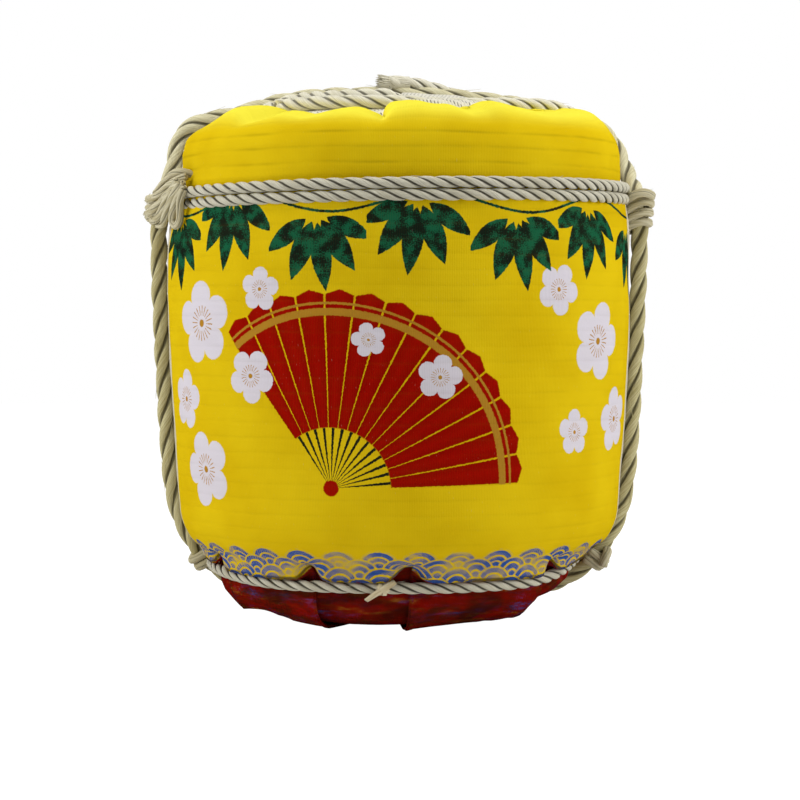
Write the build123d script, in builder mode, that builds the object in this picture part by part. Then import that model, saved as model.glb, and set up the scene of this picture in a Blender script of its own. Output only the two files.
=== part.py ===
"""Straw-wrapped cedar sake cask: coopered cask, bamboo hoops, straw packing, woven mat and ropes.

Millimetres. Z is up, the foot stands on Z = 0, the front faces -Y. Every piece is its own solid.
"""

import math
import os

from build123d import *

# Cask of cedar staves
STAVE_COUNT = 18
STAVE_THICKNESS = 13.0
CASK_HEIGHT = 345.0
CASK_FOOT_RADIUS = 143.0
CASK_RIM_RADIUS = 166.0
CHIME_CHAMFER = 2.0

# Bottom head and lid
HEAD_THICKNESS = 12.0
HEAD_BOARDS = 4
BOTTOM_RECESS = 16.0
LID_RECESS = 24.0
DOWEL_DIAMETER = 5.0
DOWEL_LENGTH = 36.0
DOWEL_SPREAD = 62.0
BUNG_TOP_DIAMETER = 27.0
BUNG_FOOT_DIAMETER = 22.0
BUNG_LENGTH = 18.0
BUNG_STAND = 5.0

# Bamboo hoops: two low ones set from the foot, four set from the rim
HOOP_THICKNESS = 8.0
HOOP_WIDTH = 20.0
HOOP_ROUNDING = 3.0
HOOPS_ABOVE_FOOT = (12.0, 44.0)
HOOPS_BELOW_RIM = (14.0, 46.0, 118.0, 196.0)

# Straw packing
FOOT_STUFFING = 40.0
LINER_THICKNESS = 4.0
DOME_RISE = 16.5

# Woven mat
MAT_THICKNESS = 3.0
GIRTH_BELOW_RIM = 43.0
BELLY_BELOW_GIRTH = 105.0
BELLY_FULLNESS = 7.0
HIP_HEIGHT = 51.0
HIP_FULLNESS = 1.0
CORNER_RADIUS = 48.0
NECK_FILLET = 4.0
SKIRT_RADIUS = 26.0
FOOT_OPENING_RADIUS = 60.0
SHOULDER_BELOW_RIM = 17.0
SHOULDER_RADIUS = 37.0
CREST_WIDTH = 23.0
TOP_MAT_TUCK = 12.0
SKIRT_PLEATS = 12
CREST_PLEATS = 14
PLEAT_STEP = 1.0
PLEAT_LAP = 6.0

# Ropes
GIRTH_DIAMETER = 9.0
GIRTH_PITCH = 9.8
GIRTH_TURNS = 2
GIRTH_START_BELOW = 7.4
LOWER_GIRTH_BELOW_NECK = 7.5
LOWER_GIRTH_GAP_DEGREES = 6.0
SLING_DIAMETER = 14.0
SLING_BEND = 60.0
SLING_FOOT_BEND = 30.0
SLING_FOOT_REACH = 5.0
KNOT_DIAMETER = 7.5
KNOT_TURNS = 3
KNOT_PITCH = 8.2
KNOT_DROP = 1.2
HITCH_DIAMETER = 7.5
HITCH_SWEEP_DEGREES = 230.0
GATHER_INSET = 12.0
GATHER_SPACING = 10.0
GATHER_FROM_DEGREES = -24.0
GATHER_SWEEP_DEGREES = 276.0
GATHER_RUN = 33.0
GATHER_END_ROUTE = ((0.769, 0.389), (0.537, 0.222), (0.259, 0.158), (0.037, 0.074), (-0.185, 0.009))
TAIL_FROM_DEGREES = -94.0
TAIL_SWEEP_DEGREES = 58.0
TWINE_WIDTH = 4.0
TWINE_THICKNESS = 0.9
TWINE_TAIL = 15.0

# Fits
CLEARANCE = 0.3
HOOP_CLEARANCE = 0.2
HEAD_CLEARANCE = 0.2
DOWEL_CLEARANCE = 0.1
BUNG_CLEARANCE = 0.15

# Levels and radii that follow from the values above
rim_z = FOOT_STUFFING + CASK_HEIGHT
split_z = rim_z - GIRTH_BELOW_RIM
bottom_z = FOOT_STUFFING + BOTTOM_RECESS
lid_z = rim_z - LID_RECESS - HEAD_THICKNESS
hip_z = FOOT_STUFFING + HIP_HEIGHT
belly_z = split_z - BELLY_BELOW_GIRTH
shoulder_z = rim_z - SHOULDER_BELOW_RIM
crest_z = shoulder_z + SHOULDER_RADIUS


def stave_radius(z):
    """Outer radius of the staves at height z."""
    taper = (CASK_RIM_RADIUS - CASK_FOOT_RADIUS) / CASK_HEIGHT
    return CASK_FOOT_RADIUS + taper * (z - FOOT_STUFFING)


def bore_radius(z):
    """Inner radius of the staves at height z."""
    return stave_radius(z) - STAVE_THICKNESS


def hoop_radius(z):
    """Outer radius of a hoop at height z."""
    return stave_radius(z) + HOOP_CLEARANCE + HOOP_THICKNESS


low_hoop_z = FOOT_STUFFING + min(HOOPS_ABOVE_FOOT)
corner_reach = math.sqrt((CORNER_RADIUS - MAT_THICKNESS) ** 2 - (hip_z - low_hoop_z) ** 2)
over_hoop_radius = hoop_radius(low_hoop_z) + CLEARANCE - corner_reach + CORNER_RADIUS

girth_radius = hoop_radius(split_z) + 2 * CLEARANCE + LINER_THICKNESS + MAT_THICKNESS
hip_radius = max(girth_radius + HIP_FULLNESS, over_hoop_radius)
belly_radius = max(girth_radius, hip_radius - HIP_FULLNESS) + BELLY_FULLNESS
neck_radius = CASK_FOOT_RADIUS + MAT_THICKNESS + PLEAT_STEP + 2 * CLEARANCE
skirt_flat_radius = neck_radius - SKIRT_RADIUS
shoulder_radius = girth_radius + HIP_FULLNESS
crest_radius = shoulder_radius - SHOULDER_RADIUS
crest_inner_radius = crest_radius - CREST_WIDTH

corner_x = hip_radius - CORNER_RADIUS
fillet_x = neck_radius + NECK_FILLET
neck_z = hip_z - math.sqrt((CORNER_RADIUS + NECK_FILLET) ** 2 - (fillet_x - corner_x) ** 2)
lower_girth_z = neck_z - LOWER_GIRTH_BELOW_NECK
lower_girth_radius = neck_radius + PLEAT_STEP + CLEARANCE + GIRTH_DIAMETER / 2

dome_edge_z = crest_z - PLEAT_STEP - MAT_THICKNESS - CLEARANCE
dome_radius = (crest_inner_radius**2 + DOME_RISE**2) / (2 * DOME_RISE)
dome_center_z = dome_edge_z + DOME_RISE - dome_radius
top_mat_radius = crest_inner_radius + TOP_MAT_TUCK


def circle_through(a, b, c):
    """Centre and radius of the circle through three points of the half section."""
    d = 2 * (a[0] * (b[1] - c[1]) + b[0] * (c[1] - a[1]) + c[0] * (a[1] - b[1]))
    sa, sb, sc = (p[0] ** 2 + p[1] ** 2 for p in (a, b, c))
    x = (sa * (b[1] - c[1]) + sb * (c[1] - a[1]) + sc * (a[1] - b[1])) / d
    z = (sa * (c[0] - b[0]) + sb * (a[0] - c[0]) + sc * (b[0] - a[0])) / d
    return (x, z), math.dist((x, z), a)


belly_center, belly_arc = circle_through(
    (hip_radius, hip_z), (belly_radius, belly_z), (girth_radius, split_z)
)


def side_radius(z):
    """Outer radius of the mat at height z, between hip and upper girth."""
    return belly_center[0] + math.sqrt(belly_arc**2 - (z - belly_center[1]) ** 2)


def dome_z(radius, lift=0.0):
    """Height at this radius of the surface that lies lift above the top mat."""
    return dome_center_z + math.sqrt((dome_radius + lift) ** 2 - radius**2)


def half_plane(angle):
    """Plane through the axis, its x pointing out at this angle and its y up."""
    a = math.radians(angle)
    return Plane(origin=(0, 0, 0), x_dir=(math.cos(a), math.sin(a), 0), z_dir=(math.sin(a), -math.cos(a), 0))


def write(part, name):
    """Label a finished piece and write it."""
    part.label = name
    export_step(part, f"parts/{name}.step")


def vadd(a, b, scale=1.0):
    """Vector a plus scale times b."""
    return tuple(p + scale * q for p, q in zip(a, b))


def vdot(a, b):
    """Dot product."""
    return sum(p * q for p, q in zip(a, b))


def biarc(p0, t0, p1, t1):
    """Two tangent arcs between two points with unit tangents, as middle, joint and middle points."""
    v = vadd(p1, p0, -1)
    a = 2 * (1 - vdot(t0, t1))
    b = 2 * vdot(v, vadd(t0, t1))
    d = (-b + math.sqrt(b * b + 4 * a * vdot(v, v))) / (2 * a)
    q0 = vadd(p0, t0, d)
    q1 = vadd(p1, t1, -d)
    joint = tuple((m + n) / 2 for m, n in zip(q0, q1))
    middles = []
    for start, corner, end in ((p0, q0, joint), (joint, q1, p1)):
        w = math.dist(start, end) / (2 * d)
        middles.append(tuple((s + 2 * w * c + e) / (2 + 2 * w) for s, c, e in zip(start, corner, end)))
    return middles[0], joint, middles[1]


def helix_line(center, start_z, radius, pitch, turns, start_angle, end_run):
    """Wind a line of quarter-turn biarcs round a vertical axis, with a straight run at each end."""

    def at(quarter):
        angle = math.radians(start_angle) + quarter * math.pi / 2
        x = center[0] + radius * math.cos(angle)
        y = center[1] + radius * math.sin(angle)
        rise = pitch / (2 * math.pi * radius)
        scale = 1 / math.sqrt(1 + rise * rise)
        tangent = (-math.sin(angle) * scale, math.cos(angle) * scale, rise * scale)
        return (x, y, start_z + quarter * pitch / 4), tangent

    first, heading = at(0)
    Line(vadd(first, heading, -end_run), first)
    for quarter in range(4 * turns):
        p0, t0 = at(quarter)
        p1, t1 = at(quarter + 1)
        middle_0, joint, middle_1 = biarc(p0, t0, p1, t1)
        ThreePointArc(p0, middle_0, joint)
        ThreePointArc(joint, middle_1, p1)
    last, heading = at(4 * turns)
    Line(last, vadd(last, heading, end_run))


def least_gap(wire, diameter, name, samples=900):
    """Measure and print the least gap between a winding's own turns."""
    points = [tuple(wire @ (i / samples)) for i in range(samples + 1)]
    apart = int(3 * diameter / wire.length * samples) + 1
    least = min(
        math.dist(points[i], points[j]) for i in range(len(points)) for j in range(i + apart, len(points))
    )
    print(f"{name}: least gap to itself {least - diameter:.2f} mm")


def tube(wire, diameter):
    """Sweep a round section along a wire, inside the current part."""
    with BuildSketch(Plane(origin=wire @ 0, z_dir=wire % 0)) as section:
        Circle(diameter / 2)
    sweep(sections=section.sketch, path=wire)


def compare_volume(part, wire, diameter, name):
    """Print a tube's volume over its section times its length."""
    share = part.volume / (math.pi * diameter**2 / 4 * wire.length)
    print(f"{name}: volume over section times length {share:.4f}, length {wire.length:.0f} mm")


os.makedirs("parts", exist_ok=True)

# Staves
stave_step = 360 / STAVE_COUNT
for index in range(STAVE_COUNT):
    with BuildPart() as stave:
        with BuildSketch(half_plane(90 + (index - 0.5) * stave_step)):
            with BuildLine():
                Polyline(
                    (bore_radius(FOOT_STUFFING), FOOT_STUFFING),
                    (stave_radius(FOOT_STUFFING), FOOT_STUFFING),
                    (stave_radius(rim_z - CHIME_CHAMFER), rim_z - CHIME_CHAMFER),
                    (stave_radius(rim_z) - CHIME_CHAMFER, rim_z),
                    (bore_radius(rim_z) + CHIME_CHAMFER, rim_z),
                    (bore_radius(rim_z - CHIME_CHAMFER), rim_z - CHIME_CHAMFER),
                    close=True,
                )
            make_face()
        revolve(axis=Axis.Z, revolution_arc=stave_step)
    write(stave.part, f"stave_{index + 1:02d}")

# Hoops
hoop_levels = [FOOT_STUFFING + up for up in HOOPS_ABOVE_FOOT]
hoop_levels += [rim_z - down - HOOP_WIDTH for down in reversed(HOOPS_BELOW_RIM)]
for index, low in enumerate(hoop_levels):
    high = low + HOOP_WIDTH
    with BuildPart() as hoop:
        with BuildSketch(Plane.XZ):
            with BuildLine():
                outer = Polyline(
                    (stave_radius(low) + HOOP_CLEARANCE, low),
                    (hoop_radius(low), low),
                    (hoop_radius(high), high),
                    (stave_radius(high) + HOOP_CLEARANCE, high),
                    close=True,
                )
            make_face()
            fillet([v for v in outer.vertices() if v.X > hoop_radius(low) - 1], HOOP_ROUNDING)
        revolve(axis=Axis.Z)
    write(hoop.part, f"hoop_{index + 1}")


def head(name, low, holed):
    """Write the boards and dowels of one head whose underside lies at this height."""
    high = low + HEAD_THICKNESS
    low_radius = bore_radius(low) - HEAD_CLEARANCE
    high_radius = bore_radius(high) - HEAD_CLEARANCE
    width = 2 * high_radius / HEAD_BOARDS
    joints = [(i - HEAD_BOARDS / 2) * width for i in range(1, HEAD_BOARDS)]
    middle_z = low + HEAD_THICKNESS / 2
    dowel_places = [
        Location((side * DOWEL_SPREAD, y, middle_z), (90, 0, 0)) for y in joints for side in (-1, 1)
    ]
    for index in range(HEAD_BOARDS):
        middle = (index + 0.5 - HEAD_BOARDS / 2) * width
        with BuildPart() as board:
            with BuildSketch(Plane.XZ):
                with BuildLine():
                    Polyline((0, low), (low_radius, low), (high_radius, high), (0, high), close=True)
                make_face()
            revolve(axis=Axis.Z)
            with Locations((0, middle, middle_z)):
                Box(3 * high_radius, width, 2 * HEAD_THICKNESS, mode=Mode.INTERSECT)
            with Locations(*dowel_places):
                hole_radius = DOWEL_DIAMETER / 2 + DOWEL_CLEARANCE
                Cylinder(hole_radius, DOWEL_LENGTH + 2 * CLEARANCE, mode=Mode.SUBTRACT)
            if holed and index == 0:
                bung_cone(middle, high, BUNG_CLEARANCE, Mode.SUBTRACT)
        write(board.part, f"{name}_board_{index + 1}")
    with BuildPart() as dowels:
        with Locations(*dowel_places):
            Cylinder(DOWEL_DIAMETER / 2, DOWEL_LENGTH)
    write(dowels.part, f"{name}_dowels")
    return width, high


def bung_cone(middle, lid_top, grown, mode=Mode.ADD):
    """Tapered bung, or its hole when grown, centred on the first lid board."""
    top = lid_top + BUNG_STAND
    with Locations((0, middle, top - BUNG_LENGTH / 2)):
        Cone(BUNG_FOOT_DIAMETER / 2 + grown, BUNG_TOP_DIAMETER / 2 + grown, BUNG_LENGTH, mode=mode)


head("bottom", bottom_z, False)
board_width, lid_top = head("lid", lid_z, True)
with BuildPart() as bung:
    bung_cone((0.5 - HEAD_BOARDS / 2) * board_width, lid_top, 0.0)
write(bung.part, "bung")


# Belt lines: taut ropes that run clockwise round circles of the section through the two side ropes
def belt_point(circle, heading):
    """Point where a rope with this heading touches a circle on its right."""
    (x, z), radius = circle
    return (x - radius * math.sin(heading), 0, z + radius * math.cos(heading))


def belt_heading(first, second):
    """Heading of the straight run from one circle to the next."""
    (x0, z0), r0 = first
    (x1, z1), r1 = second
    return math.atan2(z1 - z0, x1 - x0) + math.asin((r1 - r0) / math.dist((x0, z0), (x1, z1)))


def belt_line(start, circles, first_heading, last_heading, end):
    """Draw straight runs and arcs from start, round the circles, to end."""
    headings = [first_heading]
    for first, second in zip(circles, circles[1:]):
        turn = belt_heading(first, second)
        while turn > headings[-1] + 0.5:
            turn -= 2 * math.pi
        headings.append(turn)
    headings.append(last_heading)
    here = start
    for circle, into, out in zip(circles, headings, headings[1:]):
        arrive = belt_point(circle, into)
        leave = belt_point(circle, out)
        Line(here, arrive)
        ThreePointArc(arrive, belt_point(circle, (into + out) / 2), leave)
        here = leave
    Line(here, end)


sling_offset = SLING_DIAMETER / 2 + CLEARANCE
girth_line_radius = (
    side_radius(split_z - GIRTH_PITCH) + CLEARANCE + GIRTH_DIAMETER / 2 + HIP_FULLNESS / 2
)
girth_start_z = split_z - GIRTH_START_BELOW
knot_height = KNOT_TURNS * KNOT_PITCH
knot_low_z = girth_start_z - GIRTH_DIAMETER / 2 - KNOT_DROP - KNOT_DIAMETER / 2 - knot_height
knot_winding_radius = SLING_DIAMETER / 2 + CLEARANCE + KNOT_DIAMETER / 2
side_rope_x = max(
    side_radius(knot_low_z - KNOT_DIAMETER) + KNOT_DIAMETER + 2 * CLEARANCE + SLING_DIAMETER / 2,
    girth_line_radius + GIRTH_DIAMETER / 2 + sling_offset,
)
seam_z = knot_low_z + knot_height / 2
sling_low_z = knot_low_z - KNOT_DIAMETER
top_low_z = knot_low_z + knot_height + GIRTH_PITCH / 2 + KNOT_DIAMETER

lower_girth_circle = ((lower_girth_radius, lower_girth_z), GIRTH_DIAMETER / 2 + sling_offset)
corner_circle = ((corner_x, hip_z), CORNER_RADIUS + sling_offset)
right_side = [
    ((side_rope_x - SLING_BEND, sling_low_z), SLING_BEND),
    (belly_center, belly_arc + sling_offset),
    corner_circle,
    lower_girth_circle,
    ((skirt_flat_radius - SLING_FOOT_REACH, sling_offset + SLING_FOOT_BEND), SLING_FOOT_BEND),
]
left_side = [((-x, z), radius) for (x, z), radius in reversed(right_side)]

with BuildLine() as sling_line:
    belt_line(
        (side_rope_x, 0, seam_z - CLEARANCE / 2),
        right_side + left_side,
        -math.pi / 2,
        -1.5 * math.pi,
        (-side_rope_x, 0, seam_z - CLEARANCE / 2),
    )
sling_wire = sling_line.wires()[0]
with BuildPart() as sling_rope:
    tube(sling_wire, SLING_DIAMETER)
compare_volume(sling_rope.part, sling_wire, SLING_DIAMETER, "sling_rope")
write(sling_rope.part, "sling_rope")

with BuildPart() as sling_room:
    tube(sling_wire, SLING_DIAMETER + 2 * CLEARANCE)

# Straw bed under the cask
bed_radius = SKIRT_RADIUS - MAT_THICKNESS - PLEAT_STEP - CLEARANCE
bed_low_z = MAT_THICKNESS + CLEARANCE
with BuildPart() as straw_bed:
    with BuildSketch(Plane.XZ):
        with BuildLine():
            bed_side = skirt_flat_radius + bed_radius
            Polyline(
                (bed_side, SKIRT_RADIUS),
                (bed_side, FOOT_STUFFING - CLEARANCE),
                (bore_radius(FOOT_STUFFING) - CLEARANCE, FOOT_STUFFING - CLEARANCE),
                (bore_radius(FOOT_STUFFING) - CLEARANCE, bottom_z - CLEARANCE),
                (0, bottom_z - CLEARANCE),
                (0, bed_low_z),
                (skirt_flat_radius, bed_low_z),
                (skirt_flat_radius, SKIRT_RADIUS - bed_radius),
            )
            CenterArc((skirt_flat_radius, SKIRT_RADIUS), bed_radius, -90, 90)
        make_face()
    revolve(axis=Axis.Z)
    add(sling_room.part, mode=Mode.SUBTRACT)
write(straw_bed.part, "straw_bed")

# Straw liner between hoops and mat
liner_top_z = split_z - 2 * CLEARANCE
liner_inset = MAT_THICKNESS + CLEARANCE
with BuildPart() as straw_liner:
    with BuildSketch(Plane.XZ):
        with BuildLine():
            Polyline(
                (hip_radius - liner_inset, hip_z),
                (hoop_radius(hip_z) + CLEARANCE, hip_z),
                (hoop_radius(liner_top_z) + CLEARANCE, liner_top_z),
                (side_radius(liner_top_z) - liner_inset, liner_top_z),
            )
            ThreePointArc(
                (side_radius(liner_top_z) - liner_inset, liner_top_z),
                (side_radius(belly_z) - liner_inset, belly_z),
                (hip_radius - liner_inset, hip_z),
            )
        make_face()
    revolve(axis=Axis.Z)
write(straw_liner.part, "straw_liner")


# Mat round the side, with its pleated skirt gathered under the foot
def wall_edges(inset):
    """Draw the mat's section from neck to upper girth, this far inside its outer face."""
    unit = tuple(n / (CORNER_RADIUS + NECK_FILLET) for n in (corner_x - fillet_x, hip_z - neck_z))
    touch = tuple(c + (NECK_FILLET + inset) * u for c, u in zip((fillet_x, neck_z), unit))
    out_angle = math.atan2(unit[1], unit[0])
    half = (math.pi + out_angle) / 2
    middle = (
        fillet_x + (NECK_FILLET + inset) * math.cos(half),
        neck_z + (NECK_FILLET + inset) * math.sin(half),
    )
    low = (neck_radius - inset, lower_girth_z)
    start = (neck_radius - inset, neck_z)
    Line(low, start)
    ThreePointArc(start, middle, touch)
    turn = (out_angle - math.pi) / 2
    corner_middle = (
        corner_x + (CORNER_RADIUS - inset) * math.cos(turn),
        hip_z + (CORNER_RADIUS - inset) * math.sin(turn),
    )
    hip = (hip_radius - inset, hip_z)
    ThreePointArc(touch, corner_middle, hip)
    ThreePointArc(hip, (belly_radius - inset, belly_z), (girth_radius - inset, split_z))


def skirt_edges(shift):
    """Draw the skirt's closed section, moved out by shift."""
    outer = skirt_flat_radius + shift
    Polyline(
        (outer, 0),
        (FOOT_OPENING_RADIUS, 0),
        (FOOT_OPENING_RADIUS, MAT_THICKNESS),
        (outer, MAT_THICKNESS),
    )
    CenterArc((outer, SKIRT_RADIUS), SKIRT_RADIUS, -90, 90)
    CenterArc((outer, SKIRT_RADIUS), SKIRT_RADIUS - MAT_THICKNESS, -90, 90)
    Polyline(
        (outer + SKIRT_RADIUS, SKIRT_RADIUS),
        (outer + SKIRT_RADIUS, neck_z),
        (outer + SKIRT_RADIUS - MAT_THICKNESS, neck_z),
        (outer + SKIRT_RADIUS - MAT_THICKNESS, SKIRT_RADIUS),
    )


skirt_step = 360 / SKIRT_PLEATS
with BuildPart() as mat_wrap:
    with BuildSketch(Plane.XZ):
        with BuildLine():
            wall_edges(0)
            wall_edges(MAT_THICKNESS)
            Line((neck_radius - MAT_THICKNESS, lower_girth_z), (neck_radius, lower_girth_z))
            Line((girth_radius - MAT_THICKNESS, split_z), (girth_radius, split_z))
        make_face()
    revolve(axis=Axis.Z)
    for index in range(SKIRT_PLEATS):
        with BuildSketch(half_plane((index - 0.25) * skirt_step)):
            with BuildLine():
                skirt_edges(PLEAT_STEP if index % 2 else -PLEAT_STEP)
            make_face()
        revolve(axis=Axis.Z, revolution_arc=skirt_step)
    add(sling_room.part, mode=Mode.SUBTRACT)
write(mat_wrap.part, "mat_wrap")

# Mat over the shoulder, its crest pleated
crest_step = 360 / CREST_PLEATS
with BuildPart() as mat_shoulder:
    with BuildSketch(Plane.XZ):
        with BuildLine():
            Polyline(
                (girth_radius, split_z + CLEARANCE),
                (shoulder_radius, shoulder_z),
                (shoulder_radius - MAT_THICKNESS, shoulder_z),
                (girth_radius - MAT_THICKNESS, split_z + CLEARANCE),
                close=True,
            )
        make_face()
    revolve(axis=Axis.Z)
    for index in range(CREST_PLEATS):
        base_z = shoulder_z + (PLEAT_STEP if index % 2 else -PLEAT_STEP)
        top_z = base_z + SHOULDER_RADIUS
        with BuildSketch(half_plane((index + 0.3) * crest_step)):
            with BuildLine():
                CenterArc((crest_radius, base_z), SHOULDER_RADIUS, 0, 90)
                CenterArc((crest_radius, base_z), SHOULDER_RADIUS - MAT_THICKNESS, 0, 90)
                Polyline(
                    (shoulder_radius, base_z),
                    (shoulder_radius, base_z - PLEAT_LAP),
                    (shoulder_radius - MAT_THICKNESS, base_z - PLEAT_LAP),
                    (shoulder_radius - MAT_THICKNESS, base_z),
                )
                Polyline(
                    (crest_radius, top_z),
                    (crest_inner_radius, top_z),
                    (crest_inner_radius, top_z - MAT_THICKNESS),
                    (crest_radius, top_z - MAT_THICKNESS),
                )
            make_face()
        revolve(axis=Axis.Z, revolution_arc=crest_step)
write(mat_shoulder.part, "mat_shoulder")

# Pale mat on top and the straw pad under it
with BuildPart() as top_mat:
    with BuildSketch(Plane.XZ):
        with BuildLine():
            Line((0, dome_z(0, -MAT_THICKNESS)), (0, dome_z(0)))
            upper_edge = (top_mat_radius, dome_z(top_mat_radius))
            lower_edge = (top_mat_radius, dome_z(top_mat_radius, -MAT_THICKNESS))
            half = top_mat_radius / 2
            ThreePointArc((0, dome_z(0)), (half, dome_z(half)), upper_edge)
            Line(upper_edge, lower_edge)
            ThreePointArc(lower_edge, (half, dome_z(half, -MAT_THICKNESS)), (0, dome_z(0, -MAT_THICKNESS)))
        make_face()
    revolve(axis=Axis.Z)
write(top_mat.part, "top_mat")

pad_low_z = rim_z + CLEARANCE
pad_arc = SHOULDER_RADIUS - MAT_THICKNESS - PLEAT_STEP - CLEARANCE
pad_start = math.degrees(math.asin((pad_low_z - shoulder_z) / pad_arc))
pad_foot_radius = crest_radius + pad_arc * math.cos(math.radians(pad_start))
pad_seat_radius = top_mat_radius + 2 * CLEARANCE
pad_drop = -MAT_THICKNESS - CLEARANCE
with BuildPart() as straw_pad:
    with BuildSketch(Plane.XZ):
        with BuildLine():
            CenterArc((crest_radius, shoulder_z), pad_arc, pad_start, 90 - pad_start)
            Polyline(
                (crest_radius, shoulder_z + pad_arc),
                (pad_seat_radius, shoulder_z + pad_arc),
                (pad_seat_radius, dome_z(pad_seat_radius, pad_drop)),
            )
            ThreePointArc(
                (pad_seat_radius, dome_z(pad_seat_radius, pad_drop)),
                (pad_seat_radius / 2, dome_z(pad_seat_radius / 2, pad_drop)),
                (0, dome_z(0, pad_drop)),
            )
            Polyline((0, dome_z(0, pad_drop)), (0, pad_low_z), (pad_foot_radius, pad_low_z))
        make_face()
    revolve(axis=Axis.Z)
write(straw_pad.part, "straw_pad")

# Upper girth rope: two turns that climb from left to right across the front
with BuildLine() as girth_line:
    helix_line((0, 0), girth_start_z, girth_line_radius, GIRTH_PITCH, GIRTH_TURNS, 180, GIRTH_DIAMETER)
girth_wire = girth_line.wires()[0]
with BuildPart() as girth_rope_upper:
    tube(girth_wire, GIRTH_DIAMETER)
least_gap(girth_wire, GIRTH_DIAMETER, "girth_rope_upper")
compare_volume(girth_rope_upper.part, girth_wire, GIRTH_DIAMETER, "girth_rope_upper")
write(girth_rope_upper.part, "girth_rope_upper")

# Lower girth rope: one turn, its ends meeting under the right hitch
with BuildLine() as lower_line:
    half_turn = (360 - LOWER_GIRTH_GAP_DEGREES) / 2
    CenterArc((0, 0, lower_girth_z), lower_girth_radius, LOWER_GIRTH_GAP_DEGREES / 2, half_turn)
    CenterArc((0, 0, lower_girth_z), lower_girth_radius, LOWER_GIRTH_GAP_DEGREES / 2 + half_turn, half_turn)
lower_wire = lower_line.wires()[0]
with BuildPart() as girth_rope_lower:
    tube(lower_wire, GIRTH_DIAMETER)
least_gap(lower_wire, GIRTH_DIAMETER, "girth_rope_lower")
compare_volume(girth_rope_lower.part, lower_wire, GIRTH_DIAMETER, "girth_rope_lower")
write(girth_rope_lower.part, "girth_rope_lower")

# Side knots: three turns round the thick rope, ends to the outside
for side, name in ((-1, "left"), (1, "right")):
    start_z = knot_low_z + (GIRTH_PITCH / 2 if side > 0 else 0)
    with BuildLine() as knot_line:
        helix_line(
            (side * side_rope_x, 0),
            start_z,
            knot_winding_radius,
            KNOT_PITCH,
            KNOT_TURNS,
            0 if side > 0 else 180,
            KNOT_DIAMETER,
        )
    knot_wire = knot_line.wires()[0]
    with BuildPart() as knot:
        tube(knot_wire, KNOT_DIAMETER)
    least_gap(knot_wire, KNOT_DIAMETER, f"knot_upper_{name}")
    write(knot.part, f"knot_upper_{name}")

# Lower hitches: a loop over the thick rope where it crosses the lower girth rope
run_heading = belt_heading(corner_circle, lower_girth_circle)
run_end = belt_point(lower_girth_circle, run_heading)
hitch_radius = SLING_DIAMETER / 2 + CLEARANCE + HITCH_DIAMETER / 2
for side, name in ((-1, "left"), (1, "right")):
    hitch_plane = Plane(
        origin=(side * run_end[0], 0, run_end[2]),
        x_dir=(-side * math.sin(run_heading), 0, math.cos(run_heading)),
        z_dir=(side * math.cos(run_heading), 0, math.sin(run_heading)),
    )
    with BuildLine(hitch_plane) as hitch_line:
        CenterArc((0, 0), hitch_radius, -HITCH_SWEEP_DEGREES / 2, HITCH_SWEEP_DEGREES)
    hitch_wire = hitch_line.wires()[0]
    with BuildPart() as hitch:
        tube(hitch_wire, HITCH_DIAMETER)
    write(hitch.part, f"hitch_lower_{name}")

# Gather rope on the top: round the front and left inside the crest, then in over the thick rope
gather_radius = crest_inner_radius - GATHER_INSET
gather_lift = GIRTH_DIAMETER / 2 + CLEARANCE


def on_dome(x, y, above=0.0):
    """Place of a thin rope's centre that lies on the top mat, or this far above it."""
    return (x, y, dome_z(math.hypot(x, y), gather_lift) + above)


shoulder_circle = ((crest_radius, shoulder_z), SHOULDER_RADIUS + PLEAT_STEP + sling_offset)
gather_place = on_dome(-gather_radius, 0)
top_circles = [
    ((-side_rope_x + SLING_BEND, top_low_z), SLING_BEND),
    ((-crest_radius, shoulder_z), SHOULDER_RADIUS + PLEAT_STEP + sling_offset),
    ((gather_place[0], gather_place[2]), GIRTH_DIAMETER / 2 + sling_offset),
    ((0, dome_center_z), dome_radius + sling_offset),
    shoulder_circle,
    ((side_rope_x - SLING_BEND, top_low_z), SLING_BEND),
]
with BuildLine() as top_line:
    belt_line(
        (-side_rope_x, 0, seam_z + CLEARANCE / 2),
        top_circles,
        math.pi / 2,
        -math.pi / 2,
        (side_rope_x, 0, seam_z + CLEARANCE / 2),
    )
top_wire = top_line.wires()[0]
with BuildPart() as top_rope:
    tube(top_wire, SLING_DIAMETER)
compare_volume(top_rope.part, top_wire, SLING_DIAMETER, "top_rope")
write(top_rope.part, "top_rope")

over_z = dome_z(0, SLING_DIAMETER + CLEARANCE) + gather_lift
ring_z = dome_z(gather_radius, gather_lift)
ring_end = math.radians(GATHER_FROM_DEGREES - GATHER_SWEEP_DEGREES)
end_heading = (math.sin(ring_end), -math.cos(ring_end))
end_x = gather_radius * math.cos(ring_end)
end_y = gather_radius * math.sin(ring_end)
route = [(gather_radius * x, gather_radius * y) for x, y in GATHER_END_ROUTE]
gather_points = [
    (end_x, end_y, ring_z),
    on_dome(end_x + GATHER_RUN * end_heading[0], end_y + GATHER_RUN * end_heading[1], 1.2),
    on_dome(*route[0], 1.2),
    on_dome(*route[1], 3),
    (*route[2], over_z - GIRTH_DIAMETER),
    (*route[3], over_z + 1.6),
    (*route[4], over_z + 0.8),
]


def corner_radii(points):
    """Fillet radii that use most of the shorter run at each corner."""
    radii = []
    for a, b, c in zip(points, points[1:], points[2:]):
        u = vadd(b, a, -1)
        v = vadd(c, b, -1)
        cosine = vdot(u, v) / math.sqrt(vdot(u, u) * vdot(v, v))
        half = math.acos(max(-1.0, min(1.0, cosine))) / 2
        radii.append(0.45 * min(math.dist(a, b), math.dist(b, c)) / math.tan(max(half, 0.01)))
    return radii


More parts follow.
